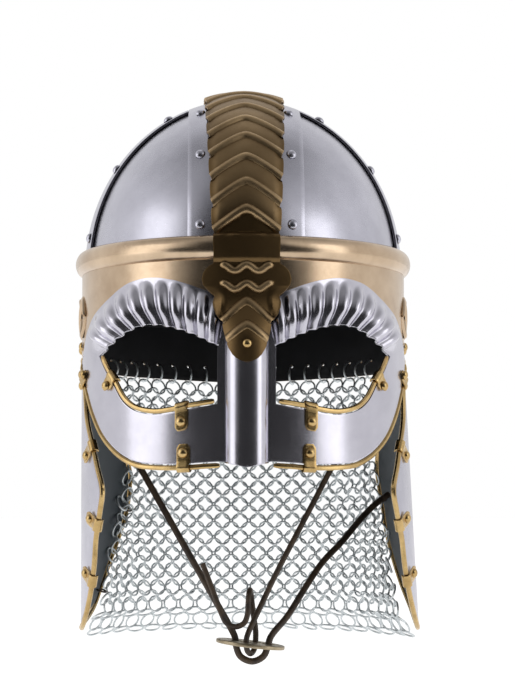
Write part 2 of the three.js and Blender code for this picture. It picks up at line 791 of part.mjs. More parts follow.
function cheekPlate(side) {
  const last = cheekTable.length - 1;
  return formedSheet(6, last, (u, v, depth) => {
    const row = cheekTable[Math.round(v * last)];
    const degrees = mix(row.front, row[rearColumn(side)], u);
    return cheekPoint(side, row.drop, degrees, mix(browInner, cheekOuter, depth));
  });
}

// The plate's edge all round, as places of {drop, degrees}, from the front corner downwards
function cheekEdgePlaces(side) {
  const front = cheekTable.map((row) => ({ drop: row.drop, degrees: row.front }));
  const rear = cheekTable.map((row) => ({ drop: row.drop, degrees: row[rearColumn(side)] }));
  const top = [0.75, 0.5, 0.25].map((share) => ({
    drop: 0,
    degrees: mix(front[0].degrees, rear[0].degrees, share),
  }));
  return [...front, ...rear.reverse(), ...top];
}

const cheekTrimReach = trimReach + 2 * clearance;
function cheekTrim(side) {
  const places = cheekEdgePlaces(side);
  const level = (browInner + cheekOuter) / 2;
  const middle = cheekPoint(side, 0.45, 95, level);
  const edge = places.map((p) => cheekPoint(side, p.drop, p.degrees, level));
  const line = edge.map((p, i) => {
    const along = edge[(i + 1) % edge.length].clone().sub(edge.at(i - 1)).normalize();
    const outward = outwardAt((l) => cheekPoint(side, places[i].drop, places[i].degrees, l));
    const away = new THREE.Vector3().crossVectors(along, outward).normalize();
    if (away.dot(p.clone().sub(middle)) < 0) away.negate();
    const before = p.clone().sub(edge.at(i - 1)).normalize();
    const corner = Math.max(0.6, before.dot(along));
    return p.clone().addScaledVector(away, cheekTrimReach / corner);
  });
  const loop = new THREE.CatmullRomCurve3(line, true, "centripetal");
  return closeUp(new THREE.TubeGeometry(loop, 46, trimRadius, 6, true));
}

function cheekClipSeat(side, drop) {
  const at = (d, level) => {
    const degrees = fromTable(cheekTable, "drop", d, "front");
    return cheekPoint(side, d, degrees, level);
  };
  const edge = at(drop, cheekOuter);
  const outward = outwardAt((level) => at(drop, level));
  const middle = cheekPoint(side, drop, 95, cheekOuter);
  return clipSeat(edge, at(drop + 0.03, cheekOuter), outward, middle);
}

// Rivets through a hinge strap: two in the brow band's edge and two in the plate's top
const hingeRivets = [
  { name: "band_front", degrees: 81.5, height: 2 },
  { name: "band_back", degrees: 91, height: 1 },
  { name: "plate_upper", degrees: 88, height: -14.5 },
  { name: "plate_lower", degrees: 91, height: -21 },
];

for (const [side, name] of [
  [-1, "left"],
  [1, "right"],
]) {
  addPiece(`cheek_plate_${name}`, cheekPlate(side), "steel");
  addPiece(`cheek_trim_${name}`, cheekTrim(side), "trimBrass");
  for (const [k, drop] of [0.33, 0.61, 0.82].entries()) {
    const seat = cheekClipSeat(side, drop);
    const clip = clipOver(seat, clipWidth, clipLeg, cheekTrimReach);
    const foot = clearance + clipWall * 0.6;
    const at = seat.edge.clone().addScaledVector(seat.into, clipLeg * 0.6);
    at.addScaledVector(seat.outward, foot);
    const head = rivetHead(at, seat.outward, brassRivetRadius, brassRivetRise, 0);
    addPiece(`cheek_clip_${name}_${k + 1}`, joined(clip, [head]), "trimBrass");
  }
  const strap = formedSheet(3, 3, (u, v, depth) => {
    const level = browInner - facetGap - hingeGap - hingeWall * (1 - depth);
    const height = cheekTop + mix(-hingeRise - 4, hingeRise + 2, v);
    const degrees = mix(hingeFrontDegrees, hingeBackDegrees, u);
    return splayed(side, wallPoint(degrees, height, level));
  });
  addPiece(`hinge_strap_${name}`, strap, "leather");
  for (const rivet of hingeRivets) {
    const at = (level) => splayed(side, wallPoint(rivet.degrees, rivet.height, level));
    const seat = at(browOuter + clearance);
    const head = rivetHead(seat, outwardAt(at), brassRivetRadius, brassRivetRise, 0);
    addPiece(`hinge_rivet_${name}_${rivet.name}`, head, "trimBrass");
  }
}

// Mail neck guard: a sheet from cheek plate to cheek plate round the nape, its hem turned out.
// drop is a share of mailDrop, out of hemSpread, and the edges are turns from the face.
const mailTable = [
  { drop: 0, out: 0, left: 120, right: 119 },
  { drop: 0.09, out: 0, left: 121, right: 118.5 },
  { drop: 0.14, out: 0, left: 123, right: 118 },
  { drop: 0.36, out: 0, left: 128, right: 115 },
  { drop: 0.5, out: 0, left: 124.5, right: 111.8 },
  { drop: 0.62, out: 0, left: 120.5, right: 105.5 },
  { drop: 0.74, out: 0, left: 117, right: 102 },
  { drop: 0.86, out: 0.02, left: 113.3, right: 97.5 },
  { drop: 0.93, out: 0.2, left: 112.5, right: 97 },
  { drop: 0.975, out: 0.55, left: 115, right: 99 },
  { drop: 1, out: 1, left: 119, right: 102.8 },
];
const mailBottom = browBottomBack - mailDrop;
const mail = formedSheet(14, mailTable.length - 1, (u, v, depth) => {
  const row = mailTable[Math.round(v * (mailTable.length - 1))];
  const degrees = mix(row.right, 360 - row.left, u);
  const height = mix(browBottom(degrees) + mailLap, mailBottom, row.drop);
  const hung = browInner - clearance - mailWall;
  const level = row.drop < 0.1 ? hung : mailOffset + row.out * hemSpread;
  if (row.out < 0.2) return wallPoint(degrees, height, level + depth * mailWall);
  const lean = Math.min(1, row.out * 1.4);
  const across = depth * mailWall * (1 - lean);
  return wallPoint(degrees, height + depth * mailWall * lean, level + across);
});
addPiece("mail_neck_guard", mail, "mailSteel");

// Chin strap. The outer thong runs from the left hinge down through the disc, round a loop
// and up to the right cheek plate; the inner one from the right hinge down through the disc
// and back, over itself and to its free end beside the outer one.
const outerThongRoute = [
  [-92.8, -6, -11],
  [-91, -8.5, -17],
  [-84.5, -14.5, -32],
  [-74.5, -22.5, -52],
  [-63, -30, -72],
  [-51.5, -37, -92],
  [-40, -43.5, -112],
  [-28.5, -49, -132],
  [-17, -53, -152],
  [-9, -55, -166],
  [-5.6, -55.2, -173],
  [-5, -55.2, -178],
  [-2.4, -55.2, -184.2],
  [4.5, -55.2, -187.2],
  [11.2, -55.2, -184.2],
  [13.9, -55, -178],
  [15.5, -53.6, -173],
  [26, -40, -161.5],
  [37, -23, -146],
  [49, -6, -130.3],
  [62, 9, -118],
  [75, 25, -104],
  [85.3, 34, -94.5],
  [93.8, 39.5, -88.6],
];
const innerThongRoute = [
  [92.8, -8, -10],
  [90, -10.5, -17],
  [83, -15.5, -28],
  [73, -22, -43],
  [62.5, -28, -59],
  [52.6, -34, -73.6],
  [43.6, -38.5, -90],
  [34.6, -43, -106.5],
  [25.6, -47, -123],
  [17, -49.5, -139.5],
  [11, -51.5, -152],
  [5.5, -56, -163],
  [1.4, -60.6, -172],
  [0.8, -61.3, -176.2],
  [1.6, -59.7, -180.5],
  [3.7, -55.2, -182.6],
  [5.8, -50.7, -180.5],
  [6.6, -49, -176.2],
  [6.8, -47.6, -170],
  [5.6, -46.3, -161],
  [4.6, -46.2, -153],
  [3.9, -48.5, -147.3],
  [3.2, -54.2, -145],
  [2.5, -59.9, -147.3],
  [2, -62.2, -153],
  [1.6, -63.2, -159],
  [-0.5, -63.9, -164.1],
  [-5.6, -64, -166.2],
  [-10.7, -63.4, -164.1],
  [-13.8, -62.2, -158.4],
  [-18.6, -59.6, -146],
  [-25, -56.5, -129.3],
];
const vectors = (route) => route.map(([x, y, z]) => new THREE.Vector3(x, y, z));
const outerThong = tubeAlong(vectors(outerThongRoute), outerThongRadius, 8, 36);
addPiece("thong_outer", outerThong, "leather");
const innerThong = tubeAlong(vectors(innerThongRoute), innerThongRadius, 8, 42);
addPiece("thong_inner", innerThong, "leather");

// Strap disc: a round plate with four holes that the thongs pass through
const discHoles = [
  { x: -5, y: -55.2, r: outerThongRadius },
  { x: 14, y: -55, r: outerThongRadius },
  { x: 0.8, y: -61.3, r: innerThongRadius },
  { x: 6.6, y: -49, r: innerThongRadius },
];
const discOutline = roundSection(discRadius, 16);
for (const hole of discHoles) {
  const ring = roundSection(hole.r + holeClearance, 6).getPoints();
  const shift = new THREE.Vector2(hole.x - discCentre.x, hole.y - discCentre.y);
  discOutline.holes.push(new THREE.Path(ring.map((p) => p.add(shift))));
}
const disc = new THREE.ExtrudeGeometry(discOutline, { depth: discWall, bevelEnabled: false });
disc.translate(0, 0, -discWall / 2);
const discMesh = addPiece("strap_disc", closeUp(disc), "agedBrass");
discMesh.position.set(discCentre.x, discCentre.y, discCentre.z);
discMesh.rotation.set(0, radians(discTiltDegrees), 0);

export default helmet;
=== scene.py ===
# %% [markdown]
# # A spectacle helmet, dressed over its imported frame
# The helmet is a riveted steel bowl with a brass crest, a mask round the eyes, hanging cheek
# plates, a mail neck guard and a chin strap of two thongs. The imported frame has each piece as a
# plain solid. This lesson forms the fine sheet metal, mail and leather over those solids.

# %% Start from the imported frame
import math
import random

import bmesh
import bpy
from mathutils import Matrix, Vector


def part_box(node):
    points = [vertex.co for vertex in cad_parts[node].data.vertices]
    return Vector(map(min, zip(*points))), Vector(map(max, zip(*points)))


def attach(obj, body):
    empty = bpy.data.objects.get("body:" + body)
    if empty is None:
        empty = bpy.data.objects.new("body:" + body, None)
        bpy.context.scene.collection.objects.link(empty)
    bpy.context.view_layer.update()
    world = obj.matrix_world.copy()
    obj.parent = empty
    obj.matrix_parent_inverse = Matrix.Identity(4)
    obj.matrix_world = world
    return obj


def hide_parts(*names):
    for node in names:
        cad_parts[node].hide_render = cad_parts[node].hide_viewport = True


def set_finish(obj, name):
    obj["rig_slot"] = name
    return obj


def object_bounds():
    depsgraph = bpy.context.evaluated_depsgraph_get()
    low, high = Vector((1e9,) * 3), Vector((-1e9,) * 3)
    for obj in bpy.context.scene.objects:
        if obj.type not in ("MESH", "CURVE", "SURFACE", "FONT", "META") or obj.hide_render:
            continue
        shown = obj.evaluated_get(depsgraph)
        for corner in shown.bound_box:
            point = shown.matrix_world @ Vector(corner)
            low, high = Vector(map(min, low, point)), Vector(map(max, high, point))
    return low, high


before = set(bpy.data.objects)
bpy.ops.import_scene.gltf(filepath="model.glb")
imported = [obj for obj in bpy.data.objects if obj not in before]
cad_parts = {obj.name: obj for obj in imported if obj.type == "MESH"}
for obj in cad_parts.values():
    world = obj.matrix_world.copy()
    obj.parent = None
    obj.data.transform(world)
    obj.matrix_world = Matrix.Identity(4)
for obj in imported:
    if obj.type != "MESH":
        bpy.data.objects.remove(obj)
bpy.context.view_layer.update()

print("frame nodes:", len(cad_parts))

# %% [markdown]
# ## Camera
# The photograph looks at the face from a good metre away, from just under the eyes. A long lens
# at that distance keeps the bowl from bulging. It is set first.

# %% Camera
MM = 0.001
CAMERA_DISTANCE = 1.4
CAMERA_HEIGHT = -0.0827
CAMERA_TURN = math.radians(-1)
FOCAL_PIXELS = 2250
PICTURE = (515, 682)
HELMET_COLUMN = 243
HORIZON_ROW = 485
SENSOR_LONG_SIDE = 36.0
NEAREST_SEEN = 0.01


def new_object(name, data):
    made = bpy.data.objects.new(name, data)
    bpy.context.scene.collection.objects.link(made)
    return made


def make_camera():
    data = bpy.data.cameras.new("camera")
    data.sensor_fit = "VERTICAL"
    data.sensor_height = SENSOR_LONG_SIDE
    data.lens = FOCAL_PIXELS / PICTURE[1] * SENSOR_LONG_SIDE
    data.clip_start = NEAREST_SEEN
    camera = new_object("camera", data)
    x = CAMERA_DISTANCE * math.sin(CAMERA_TURN)
    camera.location = (x, -CAMERA_DISTANCE * math.cos(CAMERA_TURN), CAMERA_HEIGHT)
    pitch = math.atan((HORIZON_ROW - PICTURE[1] / 2) / FOCAL_PIXELS)
    yaw = math.atan((PICTURE[0] / 2 - HELMET_COLUMN) / FOCAL_PIXELS)
    camera.rotation_euler = (math.radians(90) + pitch, 0, CAMERA_TURN - yaw)
    bpy.context.scene.camera = camera
    return camera


camera = make_camera()
print("lens in mm:", round(camera.data.lens, 1))

# %% [markdown]
# ## Thongs
# The chin strap is two thongs of dark leather. The outer one runs from the left hinge down
# through the disc, round a low loop and up to the right cheek plate. The inner one comes from
# the right hinge, goes down through the disc and back, and ends in a cut tail. A thong is drawn
# as a curve with a round section, so its length is that of the curve, and then made a mesh.

# %% Thongs
OUTER_THONG = 4.0
INNER_THONG = 3.4
THONG_STEPS = 4
THONG_ROUNDNESS = 4
OUTER_ROUTE = [
    (-92.8, -6, -11), (-91, -8.5, -17), (-84.5, -14.5, -32), (-74.5, -22.5, -52),
    (-63, -30, -72), (-51.5, -37, -92), (-40, -43.5, -112), (-28.5, -49, -132),
    (-17, -53, -152), (-9, -55, -166), (-5.6, -55.2, -173), (-5, -55.2, -178),
    (-2.4, -55.2, -184.2), (4.5, -55.2, -187.2), (11.2, -55.2, -184.2), (13.9, -55, -178),
    (15.5, -53.6, -173), (26, -40, -161.5), (37, -23, -146), (49, -6, -130.3),
    (62, 9, -118), (75, 25, -104), (85.3, 34, -94.5), (93.8, 39.5, -88.6),
]
INNER_ROUTE = [
    (92.8, -8, -10), (90, -10.5, -17), (83, -15.5, -28), (73, -22, -43), (62.5, -28, -59),
    (52.6, -34, -73.6), (43.6, -38.5, -90), (34.6, -43, -106.5), (25.6, -47, -123),
    (17, -49.5, -139.5), (11, -51.5, -152), (5.5, -56, -163), (1.4, -60.6, -172),
    (0.8, -61.3, -176.2), (1.6, -59.7, -180.5), (3.7, -55.2, -182.6), (5.8, -50.7, -180.5),
    (6.6, -49, -176.2), (6.8, -47.6, -170), (5.6, -46.3, -161), (4.6, -46.2, -153),
    (3.9, -48.5, -147.3), (3.2, -54.2, -145), (2.5, -59.9, -147.3), (2, -62.2, -153),
    (1.6, -63.2, -159), (-0.5, -63.9, -164.1), (-5.6, -64, -166.2), (-10.7, -63.4, -164.1),
    (-13.8, -62.2, -158.4), (-18.6, -59.6, -146), (-25, -56.5, -129.3),
]


def smooth_path(points, per_span=8, closed=False):
    """Points along the centripetal spline through the given ones."""
    spots = [Vector(p) for p in points]
    if closed:
        ring = [spots[-1], *spots, spots[0], spots[1]]
    else:
        ring = [spots[0] * 2 - spots[1], *spots, spots[-1] * 2 - spots[-2]]
    path = []
    for p0, p1, p2, p3 in zip(ring, ring[1:], ring[2:], ring[3:]):
        t1 = (p1 - p0).length ** 0.5
        t2 = t1 + max((p2 - p1).length ** 0.5, 1e-6)
        t3 = t2 + (p3 - p2).length ** 0.5
        for k in range(per_span):
            t = t1 + (t2 - t1) * k / per_span
            a = p0.lerp(p1, t / t1)
            b = p1.lerp(p2, (t - t1) / (t2 - t1))
            c = p2.lerp(p3, (t - t2) / (t3 - t2))
            ab = a.lerp(b, t / t2)
            bc = b.lerp(c, (t - t1) / (t3 - t1))
            path.append(ab.lerp(bc, (t - t1) / (t2 - t1)))
    if not closed:
        path.append(spots[-1])
    return path


def path_length(path):
    return sum((b - a).length for a, b in zip(path, path[1:]))


def pick(obj):
    bpy.ops.object.select_all(action="DESELECT")
    obj.select_set(True)
    bpy.context.view_layer.objects.active = obj
    return obj


def round_bar(name, path, radius, roundness, closed=False, end_share=1.0):
    """A curve with a round section along a path in metres, made a mesh."""
    curve = bpy.data.curves.new(name, "CURVE")
    curve.dimensions = "3D"
    curve.bevel_depth = radius
    curve.bevel_resolution = roundness
    curve.use_fill_caps = True
    spline = curve.splines.new("POLY")
    spline.points.add(len(path) - 1)
    spline.use_cyclic_u = closed
    for point, place in zip(spline.points, path):
        point.co = (*place, 1)
    spline.points[0].radius = spline.points[-1].radius = end_share
    pick(new_object(name, curve))
    bpy.ops.object.convert(target="MESH")
    return bpy.context.object


def make_thong(name, route, thick):
    path = smooth_path([Vector(p) * MM for p in route], THONG_STEPS)
    print(name, "length in mm:", round(path_length(path) / MM, 1))
    return round_bar(name, path, thick / 2 * MM, THONG_ROUNDNESS), path


outer_thong, outer_path = make_thong("outer_thong", OUTER_ROUTE, OUTER_THONG)
inner_thong, inner_path = make_thong("inner_thong", INNER_ROUTE, INNER_THONG)

# %% [markdown]
# ## Sizes and surfaces
# Every sheet lies on the same bowl, some layers further out than others. So a few functions that
# give a point of the bowl at a level are enough to place all of them. Lengths are millimetres
# here, as an armourer would measure, and become metres when a mesh is made.

# %% Sizes
HALF_WIDTH = 94.7
HALF_LENGTH = 113.4
CROWN_RISE = 103.4
SPRING_HEIGHT = 50
PLATE_WALL = 1.5
PLATE_BOTTOM = 22
CROWN_HOLE = 14
SEAM_DEGREES = 0.8
BAND_WALL = 1.5
BAND_WIDTH = 67
RIVET_INSET = 7
STEEL_RIVET = (3.15, 2.3)
BRASS_RIVET = (2.9, 2.0)
BROW_WALL = 1.4
CLEARANCE = 0.3
FACET_GAP = 0.65

BAND_INNER = PLATE_WALL + FACET_GAP
BAND_OUTER = BAND_INNER + BAND_WALL
BROW_INNER = BAND_OUTER + CLEARANCE
BROW_OUTER = BROW_INNER + BROW_WALL
ARCH_MM = math.radians(1) * (HALF_LENGTH + CROWN_RISE) / 2


def mix(a, b, share):
    return a + (b - a) * share


def ramp(value, start, end):
    share = min(max((value - start) / (end - start), 0), 1)
    return share * share * (3 - 2 * share)


def wall_point(degrees, height, level):
    a = math.radians(degrees)
    x = (HALF_WIDTH + level) * math.sin(a)
    return Vector((x, -(HALF_LENGTH + level) * math.cos(a), height))


def dome_point(degrees, elevation, level):
    e = math.radians(elevation)
    p = wall_point(degrees, 0, level) * math.cos(e)
    p.z = SPRING_HEIGHT + (CROWN_RISE + level) * math.sin(e)
    return p


def turn_at(x, level):
    return math.degrees(math.asin(max(-1, min(1, x / (HALF_WIDTH + level)))))


def arch_point(x, arch, level):
    """x beside the middle plane, and an arch angle from 0 at the face to 180 at the nape."""
    shrink = math.sqrt(1 - (x / (HALF_WIDTH + level)) ** 2)
    y = -(HALF_LENGTH + level) * shrink
    if arch < 0:
        return Vector((x, y, SPRING_HEIGHT + arch * ARCH_MM))
    if arch > 180:
        return Vector((x, -y, SPRING_HEIGHT + (180 - arch) * ARCH_MM))
    z = SPRING_HEIGHT + (CROWN_RISE + level) * shrink * math.sin(math.radians(arch))
    return Vector((x, y * math.cos(math.radians(arch)), z))


def side_point(side, y, arch, level):
    """y beside the plane through the ears, and an arch angle from 0 at an ear to the crown."""
    shrink = math.sqrt(1 - (y / (HALF_LENGTH + level)) ** 2)
    x = (HALF_WIDTH + level) * shrink
    if arch < 0:
        return Vector((side * x, y, SPRING_HEIGHT + arch * ARCH_MM))
    z = SPRING_HEIGHT + (CROWN_RISE + level) * shrink * math.sin(math.radians(arch))
    return Vector((side * x * math.cos(math.radians(arch)), y, z))


plate_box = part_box("skull_plate_front_right")
print("bowl half width, frame and here:", round(plate_box[1].x / MM, 1), HALF_WIDTH + PLATE_WALL)

# %% [markdown]
# ## How a sheet is formed
# Real armour starts as flat sheet that is cut and then hammered over a stake. The same order
# works here: a flat grid is the blank, its points are moved to the formed place, Solidify gives
# the wall outwards, and a narrow Bevel eases the cut edges so that they catch the light. Each
# point also keeps how far it was raised, in an attribute that the crest's finish reads to paint
# shade into the hollows of its chasing.

# %% Sheet helper
SIDES = ((-1, "left"), (1, "right"))
SMOOTH_ANGLE = math.radians(38)
EASED_ANGLE = math.radians(48)
TOUCHING = 1e-6


def primitive(kind, **settings):
    bpy.ops.object.select_all(action="DESELECT")
    getattr(bpy.ops.mesh, f"primitive_{kind}_add")(**settings)
    return bpy.context.object


def modify(obj, kind, **settings):
    pick(obj)
    modifier = obj.modifiers.new(kind.lower(), kind)
    for key, value in settings.items():
        setattr(modifier, key, value)
    bpy.ops.object.modifier_apply(modifier=modifier.name)


def edit_all(obj, *steps):
    """Runs edit operators, each (operator, settings), on the whole mesh."""
    pick(obj)
    bpy.ops.object.mode_set(mode="EDIT")
    for operator, settings in steps:
        bpy.ops.mesh.select_all(action="SELECT")
        operator(**settings)
    bpy.ops.object.mode_set(mode="OBJECT")


def smooth(obj, angle=SMOOTH_ANGLE):
    pick(obj)
    bpy.ops.object.shade_smooth_by_angle(angle=angle)
    return obj


def thicken(obj, wall, even=True):
    modify(obj, "SOLIDIFY", thickness=wall * MM, offset=1, use_even_offset=even)


def ease_edges(obj, width, angle=EASED_ANGLE, segments=2):
    modify(obj, "BEVEL", width=width * MM, segments=segments, limit_method="ANGLE",
           angle_limit=angle)


def away_from_head(place):
    return Vector((place.x, place.y, max(place.z - SPRING_HEIGHT * MM, 0)))


def flip(obj):
    edit_all(obj, (bpy.ops.mesh.flip_normals, {}))


def face_outwards(sheet):
    """Turns an open sheet over when most of its faces look at the head."""
    faces = sheet.data.polygons
    if sum(face.normal.dot(away_from_head(face.center)) * face.area for face in faces) < 0:
        flip(sheet)


def form_blank(name, across, along, form):
    """The flat blank, moved to form(u, v), which gives a place in mm and a raised height."""
    blank = primitive("grid", x_subdivisions=across, y_subdivisions=along, size=1)
    blank.name = name
    mark = blank.data.attributes.new("relief", "FLOAT", "POINT")
    for vertex, raised in zip(blank.data.vertices, mark.data):
        place, raised.value = form(vertex.co.x + 0.5, vertex.co.y + 0.5)
        vertex.co = place * MM
    return blank


def form_sheet(name, across, along, form, wall, ease=0.25, closed=False):
    sheet = form_blank(name, across, along, form)
    if closed:
        edit_all(sheet, (bpy.ops.mesh.remove_doubles, {"threshold": TOUCHING}))
    face_outwards(sheet)
    thicken(sheet, wall)
    ease_edges(sheet, ease)
    return smooth(sheet)


def join_pieces(first, others):
    pick(first)
    for other in others:
        other.select_set(True)
    bpy.ops.object.join()
    return first


dressed = []


def dress(piece, slot, *nodes):
    """Says what a finished piece is: what it rides on, its finish and the nodes it stands for."""
    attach(piece, "root")
    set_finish(piece, slot)
    if nodes:
        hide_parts(*nodes)
    dressed.append(piece)
    return piece


# %% [markdown]
# ## Rivet heads
# A rivet head is a small dome, round on top and flat below. A sphere is halved with Bisect, and
# the half is copied to each seat, squashed to the head's rise and turned to stand on the sheet.

# %% Rivets
def mesh_only(obj):
    """The object's mesh, kept as a master while the object goes."""
    mesh = obj.data.copy()
    bpy.data.objects.remove(obj)
    return mesh


def make_rivet_master():
    dome = primitive("uv_sphere", segments=20, ring_count=14, radius=1)
    cut = {"plane_co": (0, 0, 0), "plane_no": (0, 0, 1), "clear_inner": True, "use_fill": True}
    edit_all(dome, (bpy.ops.mesh.bisect, cut))
    return mesh_only(smooth(dome))


rivet_mesh = make_rivet_master()


def rivet_at(name, seat, outward, size):
    """A rivet head in mm, standing on seat, its axis along outward."""
    radius, rise = size
    turn = outward.to_track_quat("Z", "Y").to_matrix().to_4x4()
    place = Matrix.Translation(seat * MM) @ turn
    mesh = rivet_mesh.copy()
    mesh.transform(place @ Matrix.Diagonal((radius * MM, radius * MM, rise * MM, 1)))
    return new_object(name, mesh)


def outward_at(at):
    """The direction out of a sheet, from a function that gives the place at a level."""
    return (at(4) - at(0)).normalized()


print("faces in one rivet head:", len(rivet_mesh.polygons))

# %% [markdown]
# ## Bowl plates
# Four plates make the bowl, each a quarter turn, with its lower edge behind the brow band and
# its top under the crossing bands. A plate runs straight up to the spring line and then curves
# in to the crown, so one formed sheet does it, with its rows spaced evenly along that curve.

# %% Bowl plates
PLATES = {
    "skull_plate_front_right": 0,
    "skull_plate_back_right": 90,
    "skull_plate_back_left": 180,
    "skull_plate_front_left": 270,
}


def skull_plate(node, first):
    top = math.degrees(math.acos(CROWN_HOLE / HALF_WIDTH))
    skirt = SPRING_HEIGHT - PLATE_BOTTOM

    def form(u, v):
        turn = first + mix(SEAM_DEGREES, 90 - SEAM_DEGREES, u)
        climb = v * (skirt + top * ARCH_MM)
        if climb < skirt:
            return wall_point(turn, PLATE_BOTTOM + climb, 0), 0
        return dome_point(turn, (climb - skirt) / ARCH_MM, 0), 0

    return form_sheet(node.replace("skull", "bowl"), 36, 56, form, PLATE_WALL)


for node, first in PLATES.items():
    dress(skull_plate(node, first), "bowl_steel", node)

# %% [markdown]
# ## Crossing bands
# One band goes from brow to nape and two go from the ears up to it. Their rivets are hammered
# down on them, so each band and its heads are one piece. The side bands stop just beside the
# long one, in a line that follows its edge.

# %% Crossing bands
MEDIAL_RIVETS = [9.5, 36, 62.3, 117.7, 144, 170.5]
LATERAL_RIVETS = [10, 35.5, 61]
RIVET_BESIDE = BAND_WIDTH / 2 - RIVET_INSET
RIVET_SINKS = 0.1
SKIRT_ARCH = (PLATE_BOTTOM - SPRING_HEIGHT) / ARCH_MM


def band_with_rivets(name, node, rows, point_at, top_at, rivet_arches):
    def form(u, v):
        beside = mix(-BAND_WIDTH / 2, BAND_WIDTH / 2, u)
        arch = mix(SKIRT_ARCH, top_at(beside), v)
        return point_at(beside, arch, BAND_INNER), 0

    band = form_sheet(name, 24, rows, form, BAND_WALL, ease=0.35)
    heads = []
    for arch in rivet_arches:
        for beside in (-RIVET_BESIDE, RIVET_BESIDE):
            def at(level):
                return point_at(beside, arch, level)
            seat = at(BAND_OUTER - RIVET_SINKS)
            heads.append(rivet_at("head", seat, outward_at(at), STEEL_RIVET))
    return dress(join_pieces(band, heads), "bowl_steel", node)


def lateral_top(beside):
    shrink = math.sqrt(1 - (beside / (HALF_LENGTH + BAND_INNER)) ** 2)
    stop = BAND_WIDTH / 2 + CLEARANCE
    return math.degrees(math.acos(stop / ((HALF_WIDTH + BAND_INNER) * shrink)))


band_with_rivets("band_brow_to_nape", "medial_band", 200, arch_point,
                 lambda beside: 180 - SKIRT_ARCH, MEDIAL_RIVETS)
for side, word in SIDES:
    band_with_rivets(f"band_{word}_ear", f"lateral_band_{word}", 80,
                     lambda y, arch, level, side=side: side_point(side, y, arch, level),
                     lateral_top, LATERAL_RIVETS)
print("bands:", 3)

# %% [markdown]
# ## Brow band
# The brow band is a brass ring with a half-round bead rolled along its top. Its lower edge is
# high over the face, drops at the ears and is lowest at the nape. A row of small holes near the
# rear edge takes the rings that the mail hangs from. The profile is one line of points from the
# lower edge up round the bead, carried once round the head. At each temple two strands cross in
# a raised twist.

# %% Brow band
BEAD_BOTTOM = 47.5
BEAD_HEIGHT = 11.5
BEAD_BULGE = 4
BROW_BOTTOM = [(0, 14), (58, 14), (74, -3.5), (113, -3.5), (118, -11.2), (150, -12.2), (180, -14)]
TWIST_LENGTH = 62
TWIST_HEIGHT = 26
TWIST_STRAND = 1.45
TWIST_MIDDLE = 20
TWIST_STEPS = 72
TWIST_LIFT = 0.2
TWIST_WEAVE = 0.5
WALL_ROWS = 22
BEAD_ROWS = 14
LIP_ROWS = 2
LIP_GAP = 0.1
RIM_HOLE_UP = 9.5
RIM_HOLE_RADIUS = 1.0
DRILL_LENGTH = 8
RING_PITCH = 11.8
MAIL_TURNS = (121, 239)
TURN_STEP = 0.1


def from_table(table, at):
    for (a, first), (b, second) in zip(table, table[1:]):
        if at <= b:
            return mix(first, second, max(0, (at - a) / (b - a)))
    return table[-1][1]


def brow_bottom(degrees):
    turn = abs((degrees + 540) % 360 - 180)
    return from_table(BROW_BOTTOM, turn)


def brow_ring():
    rows = WALL_ROWS + BEAD_ROWS + LIP_ROWS

    def form(u, v):
        row = round(v * rows)
        degrees = u * 360
        if row <= WALL_ROWS:
            height = mix(brow_bottom(degrees), BEAD_BOTTOM, row / WALL_ROWS)
            return wall_point(degrees, height, BROW_INNER), 0
        if row <= WALL_ROWS + BEAD_ROWS:
            a = math.pi * (row - WALL_ROWS) / BEAD_ROWS
            height = BEAD_BOTTOM + BEAD_HEIGHT * (1 - math.cos(a)) / 2
            raised = math.sin(a)
            return wall_point(degrees, height, BROW_INNER + BEAD_BULGE * raised), raised
        share = (row - WALL_ROWS - BEAD_ROWS) / LIP_ROWS
        level = mix(BROW_INNER, BAND_OUTER + LIP_GAP - BROW_WALL, share)
        return wall_point(degrees, BEAD_BOTTOM + BEAD_HEIGHT - BROW_WALL * share, level), 0

    return form_sheet("brow_ring", 240, rows, form, BROW_WALL, ease=0.3, closed=True)


def tube_mesh(name, points, radius, closed=False):
    """A round bar along points in mm, its open ends rounded off."""
    bar = round_bar(name, [p * MM for p in points], radius * MM, 2, closed, 1 if closed else 0.7)
    edit_all(bar, (bpy.ops.mesh.remove_doubles, {"threshold": TOUCHING}),
             (bpy.ops.mesh.normals_make_consistent, {"inside": False}))
    return smooth(bar)


def twist_strand(side, phase):
    path = []
    for i in range(TWIST_STEPS + 1):
        along = i / TWIST_STEPS
        swing = TWIST_HEIGHT / 2 - TWIST_STRAND
        height = TWIST_MIDDLE + swing * math.sin(along * 3 * math.pi + phase)
        turn = 90 + math.degrees((along - 0.5) * TWIST_LENGTH / HALF_LENGTH)
        weave = TWIST_WEAVE * math.cos(along * 6 * math.pi + phase)
        path.append(wall_point(side * turn, height, BROW_OUTER + TWIST_LIFT + weave))
    return tube_mesh("strand", path, TWIST_STRAND)


def arc_turns(pitch, level, first, last, shift=0.0):
    """Turns from the face, about the nape, that stand a pitch apart along the wall."""
    turns = []
    for sign in (-1, 1):
        turn = 180.0
        travelled = 0.0
        target = shift * pitch if sign > 0 or shift else pitch
        while first < turn < last:
            a = math.radians(turn)
            rate = math.hypot((HALF_WIDTH + level) * math.cos(a),
                              (HALF_LENGTH + level) * math.sin(a)) * math.radians(1)
            if travelled >= target - TOUCHING:
                turns.append(turn)
                target += pitch
            turn += sign * TURN_STEP
            travelled += rate * TURN_STEP
    return sorted(set(round(t, 3) for t in turns))


hole_turns = arc_turns(RING_PITCH, 3, *MAIL_TURNS)


def cut_away(piece, drills):
    tool = join_pieces(drills[0], drills[1:])
    modify(piece, "BOOLEAN", operation="DIFFERENCE", object=tool, solver="EXACT")
    bpy.data.objects.remove(tool)


